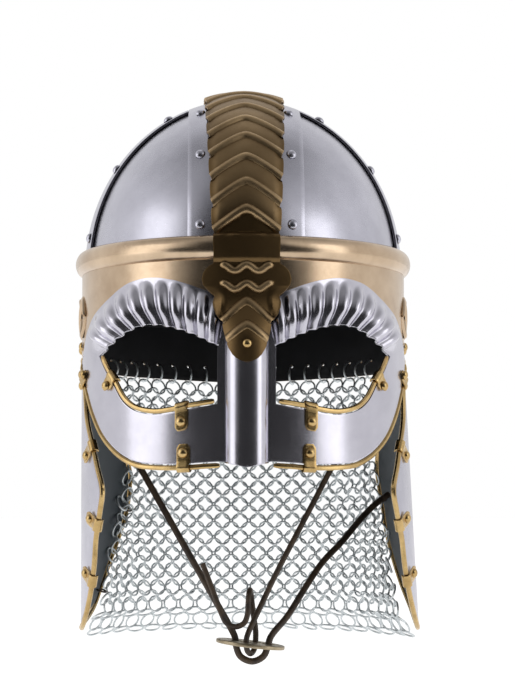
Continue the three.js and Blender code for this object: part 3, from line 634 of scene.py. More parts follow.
def drill_rim(band):
    drills = []
    for turn in hole_turns:
        def at(level):
            return wall_point(turn, brow_bottom(turn) + RIM_HOLE_UP, level)
        drill = primitive("cylinder", vertices=10, radius=RIM_HOLE_RADIUS * MM,
                          depth=DRILL_LENGTH * MM)
        aim = outward_at(at).to_track_quat("Z", "Y").to_matrix().to_4x4()
        drill.data.transform(Matrix.Translation(at(BROW_INNER) * MM) @ aim)
        drills.append(drill)
    cut_away(band, drills)


brow_band = brow_ring()
drill_rim(brow_band)
strands = [twist_strand(side, phase) for side in (-1, 1) for phase in (0, math.pi)]
dress(join_pieces(brow_band, strands), "brow_brass", "brow_band")
print("rim holes:", len(hole_turns), "faces:", len(brow_band.data.polygons))

# %% [markdown]
# ## Crest
# The crest is one long strip of brass that covers the middle of the bowl. Chevrons are chased
# across it, and its foot hangs in lobes over the mask with two wavy bars and two more chevrons.
# A chased bead is a half-round ridge, so its height is worked out from the distance to the
# bead's middle line, and the edge is cut in small scallops from chevron to chevron.

# %% Crest
CREST_WALL = 1.2
CREST_HALF_FOOT = 18.8
CREST_HALF_CROWN = 24.1
CREST_CROWN = 1.2
CREST_INNER = BAND_OUTER + FACET_GAP + 0.05
CREST_BACK_END = 172
CREST_RIVET = (BRASS_RIVET[0] * 0.9, BRASS_RIVET[1])
CREST_RIVET_UP = 0.17
CHEVRON_FIRST = 13.5
CHEVRON_PITCH = 9.1
CHEVRON_FALL = 7.5
CHEVRON_COUNT = 17
CHEVRON_BEAD = (1.9, 2.1)
CHEVRON_LEAN = 0.87
PILLOW_RISE = 0.7
PILLOW_EDGE = 0.25
APEX_ROUND = 0.12
SCALLOP = 0.9
PLATE_LENGTH = 60.2
FOOT_TIP = BEAD_BOTTOM - PLATE_LENGTH - 0.5
FOOT_GAP = 1.15
FOOT_SPREAD = 3.5
FOOT_OUTLINE = [
    (0, 0.6), (0.6, 3.4), (2, 5.8), (4, 7.7), (8, 9.9), (14, 11.6), (19, 12.9), (23.4, 13.5),
    (24.2, 14.6), (25, 15.9), (27.2, 17.8), (31.6, 19.3), (34, 19.6), (36.5, 19.0), (37.3, 18.6),
    (38.1, 19.1), (39.5, 20.9), (41.8, 22.9), (44.6, 24.6), (48, 25.3), (51.4, 24.5),
    (53.7, 23.1), (55.6, 20.9), (56.4, 19.2), (57.4, 18.8), (62, 18.8),
]
FOOT_CHEVRONS = [(35.0, 0.93), (21.0, 0.84)]
FOOT_BEAD = (1.55, 1.3)
FOOT_APEX_ROUND = 1.6
BAR_MIDDLES = (54.2, 43.6)
BAR_HALF_LENGTH = 12.9
BAR_WAVE = 1.8
BAR_WAVES = 1.9
BAR_SIZE = (1.35, 1.6)
BAR_NEAR = (-2, -1.4, -0.9, -0.4, 0, 0.4, 0.9, 1.4, 2)
MASK_WALL = 1.5
MASK_INNER = BROW_OUTER + CLEARANCE
MASK_OUTER = MASK_INNER + MASK_WALL
NOSE_HALF_WIDTH = 11.2
NOSE_BULGE = 12
BROW_RISE = 37
RIB_RISE = 2.8
BROW_SWELL = 4.2
NOSE_FADES = (-2, 26)
FLUTES_FADE = (0.54 * BROW_RISE, 0.84 * BROW_RISE)
BEAD_OUTER = BROW_OUTER + BEAD_BULGE
OFF_BEAD = (BEAD_BOTTOM + 0.97 * BEAD_HEIGHT, BEAD_BOTTOM + BEAD_HEIGHT + 2.6)
ON_BEAD = (BEAD_BOTTOM - 0.3 * BEAD_HEIGHT, BEAD_BOTTOM)


def half_round(distance, half_width, rise):
    share = min(1, abs(distance) / half_width)
    return rise * math.sqrt(1 - share * share)


def nose_rise(x, z, spread=0.0):
    across = math.sqrt(max(0, 1 - (x / (NOSE_HALF_WIDTH + spread)) ** 2))
    return NOSE_BULGE * across * (1 - ramp(z, *NOSE_FADES))


def flute_rise(x, z):
    """How far the brow flutes stand out at most, near the mask's upper edge."""
    beside = ramp(abs(x), NOSE_HALF_WIDTH, 2 * NOSE_HALF_WIDTH)
    return (BROW_SWELL + RIB_RISE) * beside * (1 - ramp(z, *FLUTES_FADE))


def crest_level(x, arch):
    z = SPRING_HEIGHT + arch * ARCH_MM
    over_bead = BEAD_OUTER + CLEARANCE
    over_mask = MASK_OUTER + FOOT_GAP + nose_rise(x, z, FOOT_SPREAD) + flute_rise(x, z)
    if z > OFF_BEAD[0]:
        return mix(over_bead, CREST_INNER, ramp(z, *OFF_BEAD))
    return mix(over_mask, over_bead, ramp(z, *ON_BEAD))


def bar_lift(x, up):
    if abs(x) > BAR_HALF_LENGTH + BAR_SIZE[0]:
        return 0
    best = 9.0
    for middle in BAR_MIDDLES:
        for near in BAR_NEAR:
            along = max(-BAR_HALF_LENGTH, min(BAR_HALF_LENGTH, x + near))
            wave = BAR_WAVE * math.cos(along / BAR_HALF_LENGTH * BAR_WAVES * math.pi)
            best = min(best, math.hypot(x - along, up - middle - wave))
    return half_round(best, *BAR_SIZE)


def bent(value, rounding):
    """The value's distance from 0, rounded off near 0."""
    return math.hypot(value, rounding) - rounding


def crest_relief(x, arch, half):
    beside = x / half
    chevron = (arch + CHEVRON_FALL * bent(beside, APEX_ROUND) - CHEVRON_FIRST) / CHEVRON_PITCH
    nearest = min(max(round(chevron), 0), CHEVRON_COUNT - 1)
    away = (chevron - nearest) * CHEVRON_PITCH * ARCH_MM * CHEVRON_LEAN
    lift = half_round(away, *CHEVRON_BEAD)
    if 0 < chevron < CHEVRON_COUNT - 1:
        pillow = math.sin(math.pi * (chevron % 1)) ** 0.5
        lift = max(lift, PILLOW_RISE * pillow * ramp(1 - abs(beside), 0, PILLOW_EDGE))
    up = SPRING_HEIGHT + arch * ARCH_MM - FOOT_TIP
    if up < PLATE_LENGTH:
        lift = bar_lift(x, up)
        for apex, slope in FOOT_CHEVRONS:
            away = (up + slope * bent(x, FOOT_APEX_ROUND) - apex) / math.hypot(1, slope)
            lift = max(lift, half_round(away, *FOOT_BEAD))
    return lift


def crest_half(arch, up):
    if up < FOOT_OUTLINE[-1][0]:
        return from_table(FOOT_OUTLINE, up)
    half = mix(CREST_HALF_FOOT, CREST_HALF_CROWN, math.sin(math.radians(max(0, min(180, arch)))))
    chevron = (arch + CHEVRON_FALL - CHEVRON_FIRST) / CHEVRON_PITCH
    cut = abs(math.sin(math.pi * chevron)) if -0.2 < chevron < CHEVRON_COUNT - 1 else 1
    return half - SCALLOP * (1 - cut) ** 2


FOOT_ROWS = 170
DOME_ROWS = 400
CREST_COLUMNS = 60
KNEE = 3.0
BEND_BEGINS = (KNEE, 14)
CROWN_BEGINS = (6, 14)


def make_crest():
    first = (FOOT_TIP - SPRING_HEIGHT) / ARCH_MM
    share = FOOT_ROWS / (FOOT_ROWS + DOME_ROWS)

    def form(u, v):
        beside = 2 * u - 1
        if v < share:
            arch = mix(first, KNEE, v / share)
        else:
            middle = mix(KNEE, CREST_BACK_END, (v - share) / (1 - share))
            arch = middle - CHEVRON_FALL * bent(beside, APEX_ROUND) * ramp(middle, *BEND_BEGINS)
        up = SPRING_HEIGHT + arch * ARCH_MM - FOOT_TIP
        half = crest_half(arch, up)
        x = beside * half
        crown = CREST_CROWN * (1 - beside ** 2) * ramp(arch, *CROWN_BEGINS)
        lift = crest_relief(x, arch, half)
        return arch_point(x, arch, crest_level(x, arch) + crown + lift), lift

    return form_sheet("crest_strip", CREST_COLUMNS, FOOT_ROWS + DOME_ROWS, form, CREST_WALL)


crest = dress(make_crest(), "crest_brass", "crest")


def crest_rivet_seat(level):
    up = CREST_RIVET_UP * PLATE_LENGTH
    arch = (FOOT_TIP + up - SPRING_HEIGHT) / ARCH_MM
    return arch_point(0, arch, crest_level(0, arch) + CREST_WALL + level)


crest_rivet = rivet_at("crest_rivet_head", crest_rivet_seat(0), outward_at(crest_rivet_seat),
                       CREST_RIVET)
dress(crest_rivet, "trim_brass", "crest_rivet")
print("crest faces:", len(crest.data.polygons))

# %% [markdown]
# ## Mask
# The spectacle mask is one sheet with two eye holes, fluted brows and a half-round nose ridge.
# Each half is a ring of sheet round an eye, so it is laid out as a ring: one direction goes
# round the eye, the other from the eye's edge to the mask's edge. The flutes run in the second
# direction and fade towards the outer rim. The right half is modelled and mirrored.

# %% Mask outline
MASK_HALF_WIDTH = 98.3
MASK_DROP = 70.7
EYE_REACH = 86.5
NOSE_FLANGE = 16.7
EYE_RISE = 9.8
EYE_DROP = 42.2
RIB_COUNT = 11
BROW_EDGE = [
    (0.12, 0.66), (0.225, 0.752), (0.332, 0.86), (0.43, 0.943), (0.57, 1), (0.702, 0.935),
    (0.815, 0.738), (0.92, 0.48), (0.972, 0.2),
]
CHEEK_EDGE = [
    (0.987, 0), (1, 0.155), (0.962, 0.373), (0.914, 0.577), (0.848, 0.757), (0.753, 0.898),
    (0.651, 0.976), (0.529, 0.999), (0.356, 1), (0.25, 0.99), (0.145, 0.982),
]
EYE_TOP = [
    (0.193, -0.32), (0.309, 0.214), (0.405, 0.571), (0.514, 0.857), (0.62, 1), (0.733, 0.878),
    (0.846, 0.367), (0.955, -0.36),
]
EYE_LOW = [
    (1, 0.15), (0.96, 0.34), (0.904, 0.538), (0.829, 0.808), (0.751, 0.936), (0.621, 1),
    (0.512, 0.983), (0.388, 0.931), (0.25, 0.887), (0.207, 0.872),
]


def flat_line(points):
    """A smooth line through flat points in mm, read by the share of its length."""
    path = smooth_path([(x, z, 0) for x, z in points], 40)
    marks = [0.0]
    for a, b in zip(path, path[1:]):
        marks.append(marks[-1] + (b - a).length)

    def at(share):
        want = min(max(share, 0), 1) * marks[-1]
        low, high = 0, len(marks) - 1
        while high - low > 1:
            middle = (low + high) // 2
            if marks[middle] <= want:
                low = middle
            else:
                high = middle
        gap = marks[high] - marks[low]
        p = path[low].lerp(path[high], (want - marks[low]) / gap if gap else 0)
        return p.x, p.y

    return at


def straight(a, b):
    return lambda share: (mix(a[0], b[0], share), mix(a[1], b[1], share))


brow_line = [(side * MASK_HALF_WIDTH, up * BROW_RISE) for side, up in BROW_EDGE]
cheek_line = [(side * MASK_HALF_WIDTH, -drop * MASK_DROP) for side, drop in CHEEK_EDGE]
eye_top_line = [(side * EYE_REACH, up * EYE_RISE) for side, up in EYE_TOP]
eye_top_line[0] = (NOSE_FLANGE, eye_top_line[0][1])
eye_low_line = [(side * EYE_REACH, -drop * EYE_DROP) for side, drop in EYE_LOW]
nose_top = (NOSE_FLANGE, eye_top_line[0][1])
nose_low = (NOSE_FLANGE, -0.865 * EYE_DROP)
bridge_eye = (NOSE_FLANGE, -0.92 * EYE_RISE)
middle_top = (0, 0.6 * BROW_RISE)
middle_low = (0, -1.03 * MASK_DROP)
eye_low_at = flat_line(eye_low_line)
cheek_edge_at = flat_line(cheek_line)
STRETCHES = [
    (RIB_COUNT * 14, flat_line(eye_top_line), flat_line(brow_line)),
    (80, eye_low_at, cheek_edge_at),
    (16, straight(eye_low_line[-1], nose_low), straight(cheek_line[-1], middle_low)),
    (26, straight(nose_low, bridge_eye), straight(middle_low, middle_top)),
    (8, straight(bridge_eye, nose_top), straight(middle_top, brow_line[0])),
]
RING_STEPS = sum(steps for steps, eye, edge in STRETCHES)
MASK_ROWS = 30
HALVES_MEET = 2e-5
SWELLS = (-0.1, 0.4)
SWELL_FADES = (0.4, 1)
RIBS_FADE = (0.58, 1)
RIBS_END = (0.94, 1)
RIB_SHARPNESS = 1.3


def mask_flat(step, out):
    """Place on the flat blank, and the share along the brow or None."""
    for k, (steps, eye, edge) in enumerate(STRETCHES):
        if step < steps:
            break
        step -= steps
    share = step / steps
    (ex, ez), (gx, gz) = eye(share), edge(share)
    return mix(ex, gx, out), mix(ez, gz, out), share if k == 0 else None


def brow_lift(x, share, out):
    clear = ramp(x, NOSE_HALF_WIDTH, 2 * NOSE_HALF_WIDTH) * (1 - ramp(share, *RIBS_END))
    swell = BROW_SWELL * ramp(out, *SWELLS) * (1 - ramp(out, *SWELL_FADES))
    wave = 0.5 - 0.5 * math.cos(2 * math.pi * share * RIB_COUNT)
    rib = RIB_RISE * wave ** RIB_SHARPNESS * (1 - ramp(out, *RIBS_FADE))
    return (swell + rib) * clear, rib * clear / RIB_RISE


def mask_point(x, z, level):
    return wall_point(turn_at(x, MASK_OUTER), z, level)


def make_mask():
    def form(u, v):
        x, z, share = mask_flat(round(u * RING_STEPS) % RING_STEPS, v)
        lift, mark = nose_rise(x, z), 0
        if share is not None:
            swell, mark = brow_lift(x, share, v)
            lift += swell
        p = mask_point(x, z, MASK_INNER + lift)
        if v > 0.999 and x < 0.01:
            p.x = 0
        return p, mark

    half = form_blank("eye_mask", RING_STEPS, MASK_ROWS, form)
    edit_all(half, (bpy.ops.mesh.remove_doubles, {"threshold": TOUCHING}))
    modify(half, "MIRROR", use_axis=(True, False, False), use_mirror_merge=True,
           merge_threshold=HALVES_MEET)
    face_outwards(half)
    thicken(half, MASK_WALL, even=False)
    ease_edges(half, 0.25, angle=math.radians(60))
    return smooth(half, math.radians(50))


mask = dress(make_mask(), "mask_steel", "spectacle_mask")
print("mask faces:", len(mask.data.polygons))

# %% [markdown]
# ## Edge trims
# A round brass tube, slit and pushed on, binds the lower edge of each eye hole and the mask's
# lower edge. It follows the sheet's own edge line, a little outside it, so the line is offset
# sideways along the sheet and a tube is run along it.

# %% Mask trims
TRIM_RADIUS = 1.6
TRIM_REACH = TRIM_RADIUS + 1.5 * CLEARANCE
TRIM_STEPS = 60
MASK_MIDDLE = (MASK_INNER + MASK_OUTER) / 2


def mirrored(side, p):
    return Vector((side * p.x, p.y, p.z))


def beside_edge(points, outwards, inside, reach):
    """The line that runs beside an edge, along the sheet, at a reach from it."""
    line = []
    for i, p in enumerate(points):
        along = points[min(i + 1, len(points) - 1)] - points[max(i - 1, 0)]
        away = along.normalized().cross(outwards[i]).normalized()
        if away.dot(p - inside) < 0:
            away.negate()
        line.append(p + away * reach)
    return line


def mask_trim(name, side, line, first, last, sign):
    points, outwards = [], []
    for i in range(TRIM_STEPS + 1):
        x, z = line(mix(first, last, i / TRIM_STEPS))

        def at(level):
            return mirrored(side, mask_point(x, z, MASK_MIDDLE + level + nose_rise(x, z)))
        points.append(at(0))
        outwards.append(outward_at(at))
    eye = mirrored(side, mask_point(0.6 * EYE_REACH, -0.35 * EYE_DROP, MASK_MIDDLE))
    return tube_mesh(name, beside_edge(points, outwards, eye, sign * TRIM_REACH), TRIM_RADIUS)


MASK_TRIMS = {"eye": (eye_low_at, 0.02, 0.995, -1), "mask": (cheek_edge_at, 0.07, 0.99, 1)}
for side, word in SIDES:
    for edge, shape in MASK_TRIMS.items():
        trim = mask_trim(f"{edge}_binding_{word}", side, *shape)
        dress(trim, "trim_brass", f"{edge}_trim_{word}")

# %% [markdown]
# ## Clips
# Small clips hold the trims on. A clip is a strip that is bent round the tube and riveted flat
# on the sheet, with the corners of its end snipped off. So it is formed like the big sheets, a
# strip carried along its bent profile, narrower towards the end of the leg.

# %% Clips
CLIP_WALL = 1.0
CLIP_HALF_WIDTH = 3.85
CLIP_LEAST_HALF_WIDTH = 0.5
CLIP_LEG = 11.5
CORNER_LEG = 8
HOOK_STARTS = 0.8
HOOK_TURNS = (75, 262)
LEG_STEPS = 8
HOOK_STEPS = 12
MASK_RIVET_ALONG = 0.55
CHEEK_RIVET_ALONG = 0.6
# how much of the leg's end is snipped, and by how much the half width falls for each mm
SQUARE_SNIP = (2.2, 0.8)
POINTED_SNIP = (4.5, CLIP_HALF_WIDTH / 4.5)


def clip_profile(leg, reach):
    """Points (into, outward) from the leg's end to the hook's end, on the strip's inner face."""
    path = [(mix(leg, HOOK_STARTS, i / LEG_STEPS), CLEARANCE) for i in range(LEG_STEPS + 1)]
    radius = TRIM_RADIUS + CLEARANCE
    for i in range(HOOK_STEPS + 1):
        a = math.radians(mix(*HOOK_TURNS, i / HOOK_STEPS))
        path.append((-reach + radius * math.cos(a), -MASK_WALL / 2 + radius * math.sin(a)))
    return path


def make_clip(name, seat, leg, reach, snip):
    edge, along, outward, into = seat
    path = clip_profile(leg, reach)
    steps = len(path) - 1
    snip_length, narrowing = snip

    def form(u, v):
        a, b = path[round(v * steps)]
        half = CLIP_HALF_WIDTH - max(0, snip_length - (leg - a)) * narrowing
        beside = (2 * u - 1) * max(half, CLIP_LEAST_HALF_WIDTH)
        return edge + along * beside + into * a + outward * b, 0

    clip = form_blank(name, 4, steps, form)
    leg_faces = [f for f in clip.data.polygons if (f.center - edge * MM).dot(into) > 2 * MM]
    if sum(f.normal.dot(outward) for f in leg_faces) < 0:
        flip(clip)
    thicken(clip, CLIP_WALL)
    ease_edges(clip, 0.2)
    return smooth(clip)


def clip_seat(edge, following, outward, inside):
    """An edge point with the directions along the edge, out of the sheet and into it."""
    along = (following - edge).normalized()
    into = along.cross(outward).normalized()
    if into.dot(inside - edge) < 0:
        into.negate()
    return edge, into.cross(outward), outward, into


def mask_clip_seat(side, line, share, toward, plumb):
    """A plumb clip's leg hangs straight, though its hook follows the sloping edge."""
    x, z = line(share)

    def at(level):
        return mask_point(x, z, MASK_OUTER + level)
    outward = outward_at(at)
    following = mask_point(*line(min(share + 0.02, 1)), MASK_OUTER)
    seat = clip_seat(at(0), following, outward, mask_point(x, z + 20 * toward, MASK_OUTER))
    if plumb:
        edge, along, outward, into = seat
        level = Vector((-outward.y, outward.x, 0))
        seat = edge, along, outward, into - along * (into.dot(level) / along.dot(level))
    return [mirrored(side, p) for p in seat]


MASK_CLIPS = {
    "eye_clip": (eye_low_at, 0.78, -1, True),
    "mask_clip": (cheek_edge_at, 0.835, 1, True),
    "eye_corner_clip": (eye_low_at, 0.19, -1, False),
    "temple_clip": (cheek_edge_at, 0.15, 1, False),
}
for side, word in SIDES:
    for name, place in MASK_CLIPS.items():
        seat = edge, along, outward, into = mask_clip_seat(side, *place)
        leg, snip = (CLIP_LEG, SQUARE_SNIP) if place[-1] else (CORNER_LEG, POINTED_SNIP)
        clip = make_clip(f"{name}_strip_{word}", seat, leg, TRIM_REACH, snip)
        dress(clip, "trim_brass", f"{name}_{word}")
        foot = edge + into * (leg * MASK_RIVET_ALONG) + outward * (2 * CLEARANCE + CLIP_WALL)
        head = rivet_at(f"{name}_head_{word}", foot, outward, BRASS_RIVET)
        dress(head, "trim_brass", f"{name}_{word}_rivet")
print("clips on the mask:", 2 * len(MASK_CLIPS))

# %% [markdown]
# ## Cheek plates
# Each cheek plate is a steel sheet that hangs from the brow band's lower edge on a leather
# hinge. Its front edge swells forward at the cheek, and it narrows to the chin. The edge is
# drawn as a few turns from the face at given drops, with a smooth line through them, and the
# brass tube runs all round it.

# %% Cheek plates
CHEEK_WALL = 1.4
CHEEK_OUTER = BROW_INNER + CHEEK_WALL
CHEEK_TOP = -9
CHEEK_DROP = 158
SPLAY = {-1: 0, 1: 3}
CHEEK_TABLE = [
    (0, 83.2, 110, 110), (0.125, 76.6, 115, 113.5), (0.228, 73.4, 121, 116.5),
    (0.329, 67, 127.5, 119), (0.411, 62.8, 131.5, 120), (0.487, 59.4, 131.4, 119),
    (0.563, 61, 130, 117.5), (0.658, 63.9, 126.4, 116), (0.766, 65.5, 120.5, 112),
    (0.861, 68.5, 114.5, 106.5), (0.937, 73, 108.8, 99), (1, 82, 91, 89),
]
CHEEK_CLIP_DROPS = [0.33, 0.61, 0.82]
CHEEK_MIDDLE = (0.45, 95)
CHEEK_TRIM_REACH = TRIM_REACH + 0.5 * CLEARANCE


def splayed(side, p):
    out = max(0, CHEEK_TOP - p.z) * math.tan(math.radians(SPLAY[side]))
    return Vector((side * (p.x + out), p.y, p.z))


def cheek_point(side, drop, degrees, level):
    return splayed(side, wall_point(degrees, CHEEK_TOP - drop * CHEEK_DROP, level))


def smooth_column(column):
    """A smooth edge through the table's turns, read by drop."""
    path = smooth_path([(row[0] * 100, row[column], 0) for row in CHEEK_TABLE], 12)
    rows = [(p.x / 100, p.y) for p in path]
    return lambda drop: from_table(rows, drop)


front_edge = smooth_column(1)
rear_edge = {-1: smooth_column(2), 1: smooth_column(3)}


def cheek_plate(side, word):
    def form(u, v):
        degrees = mix(front_edge(v), rear_edge[side](v), u)
        return cheek_point(side, v, degrees, BROW_INNER), 0

    return form_sheet(f"cheek_sheet_{word}", 36, 60, form, CHEEK_WALL)


def cheek_edge_places(side):
    front = [(row[0], row[1]) for row in CHEEK_TABLE]
    rear = [(row[0], row[2 if side < 0 else 3]) for row in CHEEK_TABLE]
    top = [(0, mix(front[0][1], rear[0][1], share)) for share in (0.75, 0.5, 0.25)]
    return [*front, *reversed(rear), *top]


def cheek_trim(side, word):
    places = cheek_edge_places(side)
    level = (BROW_INNER + CHEEK_OUTER) / 2
    middle = cheek_point(side, *CHEEK_MIDDLE, level)
    edge = [cheek_point(side, drop, degrees, level) for drop, degrees in places]
    line = []
    for i, p in enumerate(edge):
        along = (edge[(i + 1) % len(edge)] - edge[i - 1]).normalized()
        outward = outward_at(lambda level: cheek_point(side, *places[i], level))
        away = along.cross(outward).normalized()
        if away.dot(p - middle) < 0:
            away.negate()
        before = (p - edge[i - 1]).normalized()
        line.append(p + away * (CHEEK_TRIM_REACH / max(0.75, before.dot(along))))
    path = smooth_path(line, 8, closed=True)
    return tube_mesh(f"cheek_binding_{word}", path, TRIM_RADIUS, closed=True)


def cheek_clip_seat(side, drop):
    def at(d, level):
        return cheek_point(side, d, front_edge(d), level)
    middle = cheek_point(side, drop, CHEEK_MIDDLE[1], CHEEK_OUTER)
    outward = outward_at(lambda level: at(drop, level))
    return clip_seat(at(drop, CHEEK_OUTER), at(drop + 0.03, CHEEK_OUTER), outward, middle)


for side, word in SIDES:
    dress(cheek_plate(side, word), "cheek_steel", f"cheek_plate_{word}")
    dress(cheek_trim(side, word), "trim_brass", f"cheek_trim_{word}")
    for k, drop in enumerate(CHEEK_CLIP_DROPS, 1):
        seat = edge, along, outward, into = cheek_clip_seat(side, drop)
        name = f"cheek_strip_{word}_{k}"
        clip = make_clip(name, seat, CLIP_LEG, CHEEK_TRIM_REACH, SQUARE_SNIP)
        rise = CLEARANCE + CLIP_WALL * 0.9
        foot = edge + into * (CLIP_LEG * CHEEK_RIVET_ALONG) + outward * rise
        head = rivet_at("head", foot, outward, BRASS_RIVET)
        dress(join_pieces(clip, [head]), "trim_brass", f"cheek_clip_{word}_{k}")

# %% [markdown]
# ## Leather hinges
# A strap of thick black leather behind the sheets joins each cheek plate to the brow band, held
# by two rivets above and two below. The strap is a formed sheet with a wider eased edge, as cut
# leather has.

# %% Hinges
HINGE_WALL = 2
HINGE_GAP = 0.6
HINGE_TURNS = (78, 95)
HINGE_HEIGHTS = (-28, 8)
HINGE_RIVETS = {
    "band_front": (81.5, 2), "band_back": (91, 1), "plate_upper": (88, -14.5),
    "plate_lower": (91, -21),
}


def hinge_strap(side, word):
    def form(u, v):
        level = BROW_INNER - FACET_GAP - HINGE_GAP - HINGE_WALL
        degrees = mix(*HINGE_TURNS, u)
        return splayed(side, wall_point(degrees, mix(*HINGE_HEIGHTS, v), level)), 0

    return form_sheet(f"leather_hinge_{word}", 14, 24, form, HINGE_WALL, ease=0.5)


for side, word in SIDES:
    dress(hinge_strap(side, word), "leather", f"hinge_strap_{word}")
    for place, (degrees, height) in HINGE_RIVETS.items():
        def at(level):
            return splayed(side, wall_point(degrees, height, level))
        seat = at(BROW_OUTER + CLEARANCE)
        head = rivet_at(f"hinge_head_{word}_{place}", seat, outward_at(at), BRASS_RIVET)
        dress(head, "trim_brass", f"hinge_rivet_{word}_{place}")
print("dressed so far:", len(dressed))

# %% [markdown]
# ## Mail
# The neck guard is mail: each ring passes through two rings of the row above and two of the row
# below. Rows lean in turn one way and the other, and that alone makes neighbours link when they
# stand half a ring apart. One ring is modelled and copied along the rows of the hanging sheet,
# with a little disorder. The hem spreads outwards, where the mail rests on the shoulders.

# %% Mail rings
MAIL_WALL = 2.2
MAIL_OFFSET = 0.2
MAIL_DROP = 164
HEM_SPREAD = 17
MAIL_BOTTOM = -14 - MAIL_DROP
MAIL_TABLE = [
    (0, 0, 120, 119), (0.09, 0, 121, 118.5), (0.14, 0, 123, 118), (0.36, 0, 128, 115),
    (0.5, 0, 124.5, 111.8), (0.62, 0, 120.5, 105.5), (0.74, 0, 117, 102),
    (0.86, 0.02, 113.3, 97.5), (0.93, 0.2, 112.5, 97), (0.975, 0.55, 115, 99),
    (1, 1, 119, 102.8),
]
ROW_PITCH = 5.45
RING_MIDDLE_RADIUS = 5.05
RING_WIRE = 0.66
RING_LEAN = math.radians(23)
RING_STEPS_ROUND = 16
RING_STEPS_WIRE = 6
MAIL_TOP = -19.5
HIDDEN_RISE = 9
LEAN_JITTER = math.radians(5)
RIM_LOW = -11.2
MAIL_SIDE_GAP = 2.2
BELOW_RIM = 4
SLOPE_REACH = 0.02


def ring_shape(radius, wire):
    ring = primitive("torus", major_segments=RING_STEPS_ROUND, minor_segments=RING_STEPS_WIRE,
                     major_radius=radius * MM, minor_radius=wire * MM)
    pick(ring)
    bpy.ops.object.shade_smooth()
    return mesh_only(ring)


UP = Vector((0, 0, 1))
mail_ring = ring_shape(RING_MIDDLE_RADIUS, RING_WIRE)


def mail_column(column):
    return lambda drop: from_table([(row[0], row[column]) for row in MAIL_TABLE], drop)


mail_out, mail_left, mail_right = (mail_column(k) for k in (1, 2, 3))


def mail_level(drop):
    return MAIL_OFFSET + MAIL_WALL / 2 + mail_out(drop) * HEM_SPREAD


def mail_places():
    """(turn, height, drop, row) of every ring of the hanging sheet."""
    rows = int((MAIL_TOP - MAIL_BOTTOM) / ROW_PITCH) + 1
    places = []
    for row in range(-2, rows):
        height = MAIL_TOP - row * ROW_PITCH
        drop = min(max((MAIL_TOP + HIDDEN_RISE - height) / MAIL_DROP, 0), 1)
        shift = 0.5 if row % 2 else 0.0
        first = mail_right(drop) + MAIL_SIDE_GAP
        last = 360 - mail_left(drop) - MAIL_SIDE_GAP
        for turn in arc_turns(RING_PITCH, 1, first, last, shift):
            raised = (min(brow_bottom(turn), RIM_LOW) - brow_bottom(180)) * (1 - drop)
            if height + raised < brow_bottom(turn) - BELOW_RIM:
                places.append((turn, height + raised, drop, row))
    return places


def matrix_for(place, outward, down, lean):
    """A ring's frame: its axis outward, tipped by lean about the row's direction."""
    across = down.cross(outward).normalized()
    turn = Matrix((across, outward.cross(across), outward)).transposed()
    return Matrix.Translation(place * MM) @ (turn @ Matrix.Rotation(lean, 3, "X")).to_4x4()


def many_copies(name, shape, frames):
    """One mesh of shape copied to each frame."""
    count = len(shape.vertices)
    verts, faces = [], []
    polygons = [tuple(face.vertices) for face in shape.polygons]
    for n, place in enumerate(frames):
        verts.extend(place @ v.co for v in shape.vertices)
        faces.extend(tuple(i + n * count for i in face) for face in polygons)
    mesh = bpy.data.meshes.new(name)
    mesh.from_pydata(verts, [], faces)
    mesh.polygons.foreach_set("use_smooth", [True] * len(faces))
    return new_object(name, mesh)


def mail_sheet():
    chance = random.Random(11)
    frames = []
    for turn, height, drop, row in mail_places():
        def at(level):
            return wall_point(turn, height, mail_level(drop) + level)
        outward = outward_at(at)
        above, below = max(drop - SLOPE_REACH, 0), min(drop + SLOPE_REACH, 1)
        slope = (mail_level(below) - mail_level(above)) / (2 * SLOPE_REACH * MAIL_DROP)
        tip = math.atan(slope)
        down = (outward * math.sin(tip) - UP * math.cos(tip)).normalized()
        facing = (outward * math.cos(tip) + UP * math.sin(tip)).normalized()
        lean = (RING_LEAN if row % 2 else -RING_LEAN) + chance.gauss(0, LEAN_JITTER / 2)
        sway = Matrix.Rotation(chance.gauss(0, LEAN_JITTER), 4, "Y")
        frames.append(matrix_for(at(0), facing, down, lean) @ sway)
    return many_copies("mail_rings", mail_ring, frames)


mail = dress(mail_sheet(), "mail_steel", "mail_neck_guard")
print("mail triangles:", 2 * len(mail.data.polygons))

# %% [markdown]
# ## Connecting rings and lacing
# The top row hangs from larger rings that pass through the rim holes. They stand across the
# sheet, so from the front they are seen nearly edge-on. The mail's side edges are laced to the
# cheek plates' rear edges with small black loops.

# %% Connecting rings and lacing
HANGER_RADIUS = 6.2
HANGER_SLACK = 0.4
LACE_DROPS = {-1: (0.566, 0.89), 1: (0.53,)}
LACE_RADIUS = 3.4
LACE_WIRE = 0.6
LACE_INWARD = 2
LACE_FROM_EDGE = 0.6
LACE_TIP = math.radians(20)


def hanging_rings():
    shape = ring_shape(HANGER_RADIUS, RING_WIRE)
    frames = []
    for turn in hole_turns:
        height = brow_bottom(turn) + RIM_HOLE_UP - HANGER_RADIUS + HANGER_SLACK

        def at(level):
            return wall_point(turn, height, BROW_INNER + BROW_WALL / 2 + level)
        frames.append(matrix_for(at(0), outward_at(at).cross(UP).normalized(), -UP, 0))
    return many_copies("rim_rings", shape, frames)


def lacing():
    shape = ring_shape(LACE_RADIUS, LACE_WIRE)
    frames = []
    for side, drops in LACE_DROPS.items():
        for drop in drops:
            level = BROW_INNER - LACE_INWARD
            place = cheek_point(side, drop, rear_edge[side](drop) - LACE_FROM_EDGE, level)
            outward = Vector((place.x, place.y, 0)).normalized()
            frames.append(matrix_for(place, UP, outward, LACE_TIP))
    return many_copies("lacing_loops", shape, frames)


dress(hanging_rings(), "mail_steel")
dress(lacing(), "leather")
print("rim rings:", len(hole_turns))

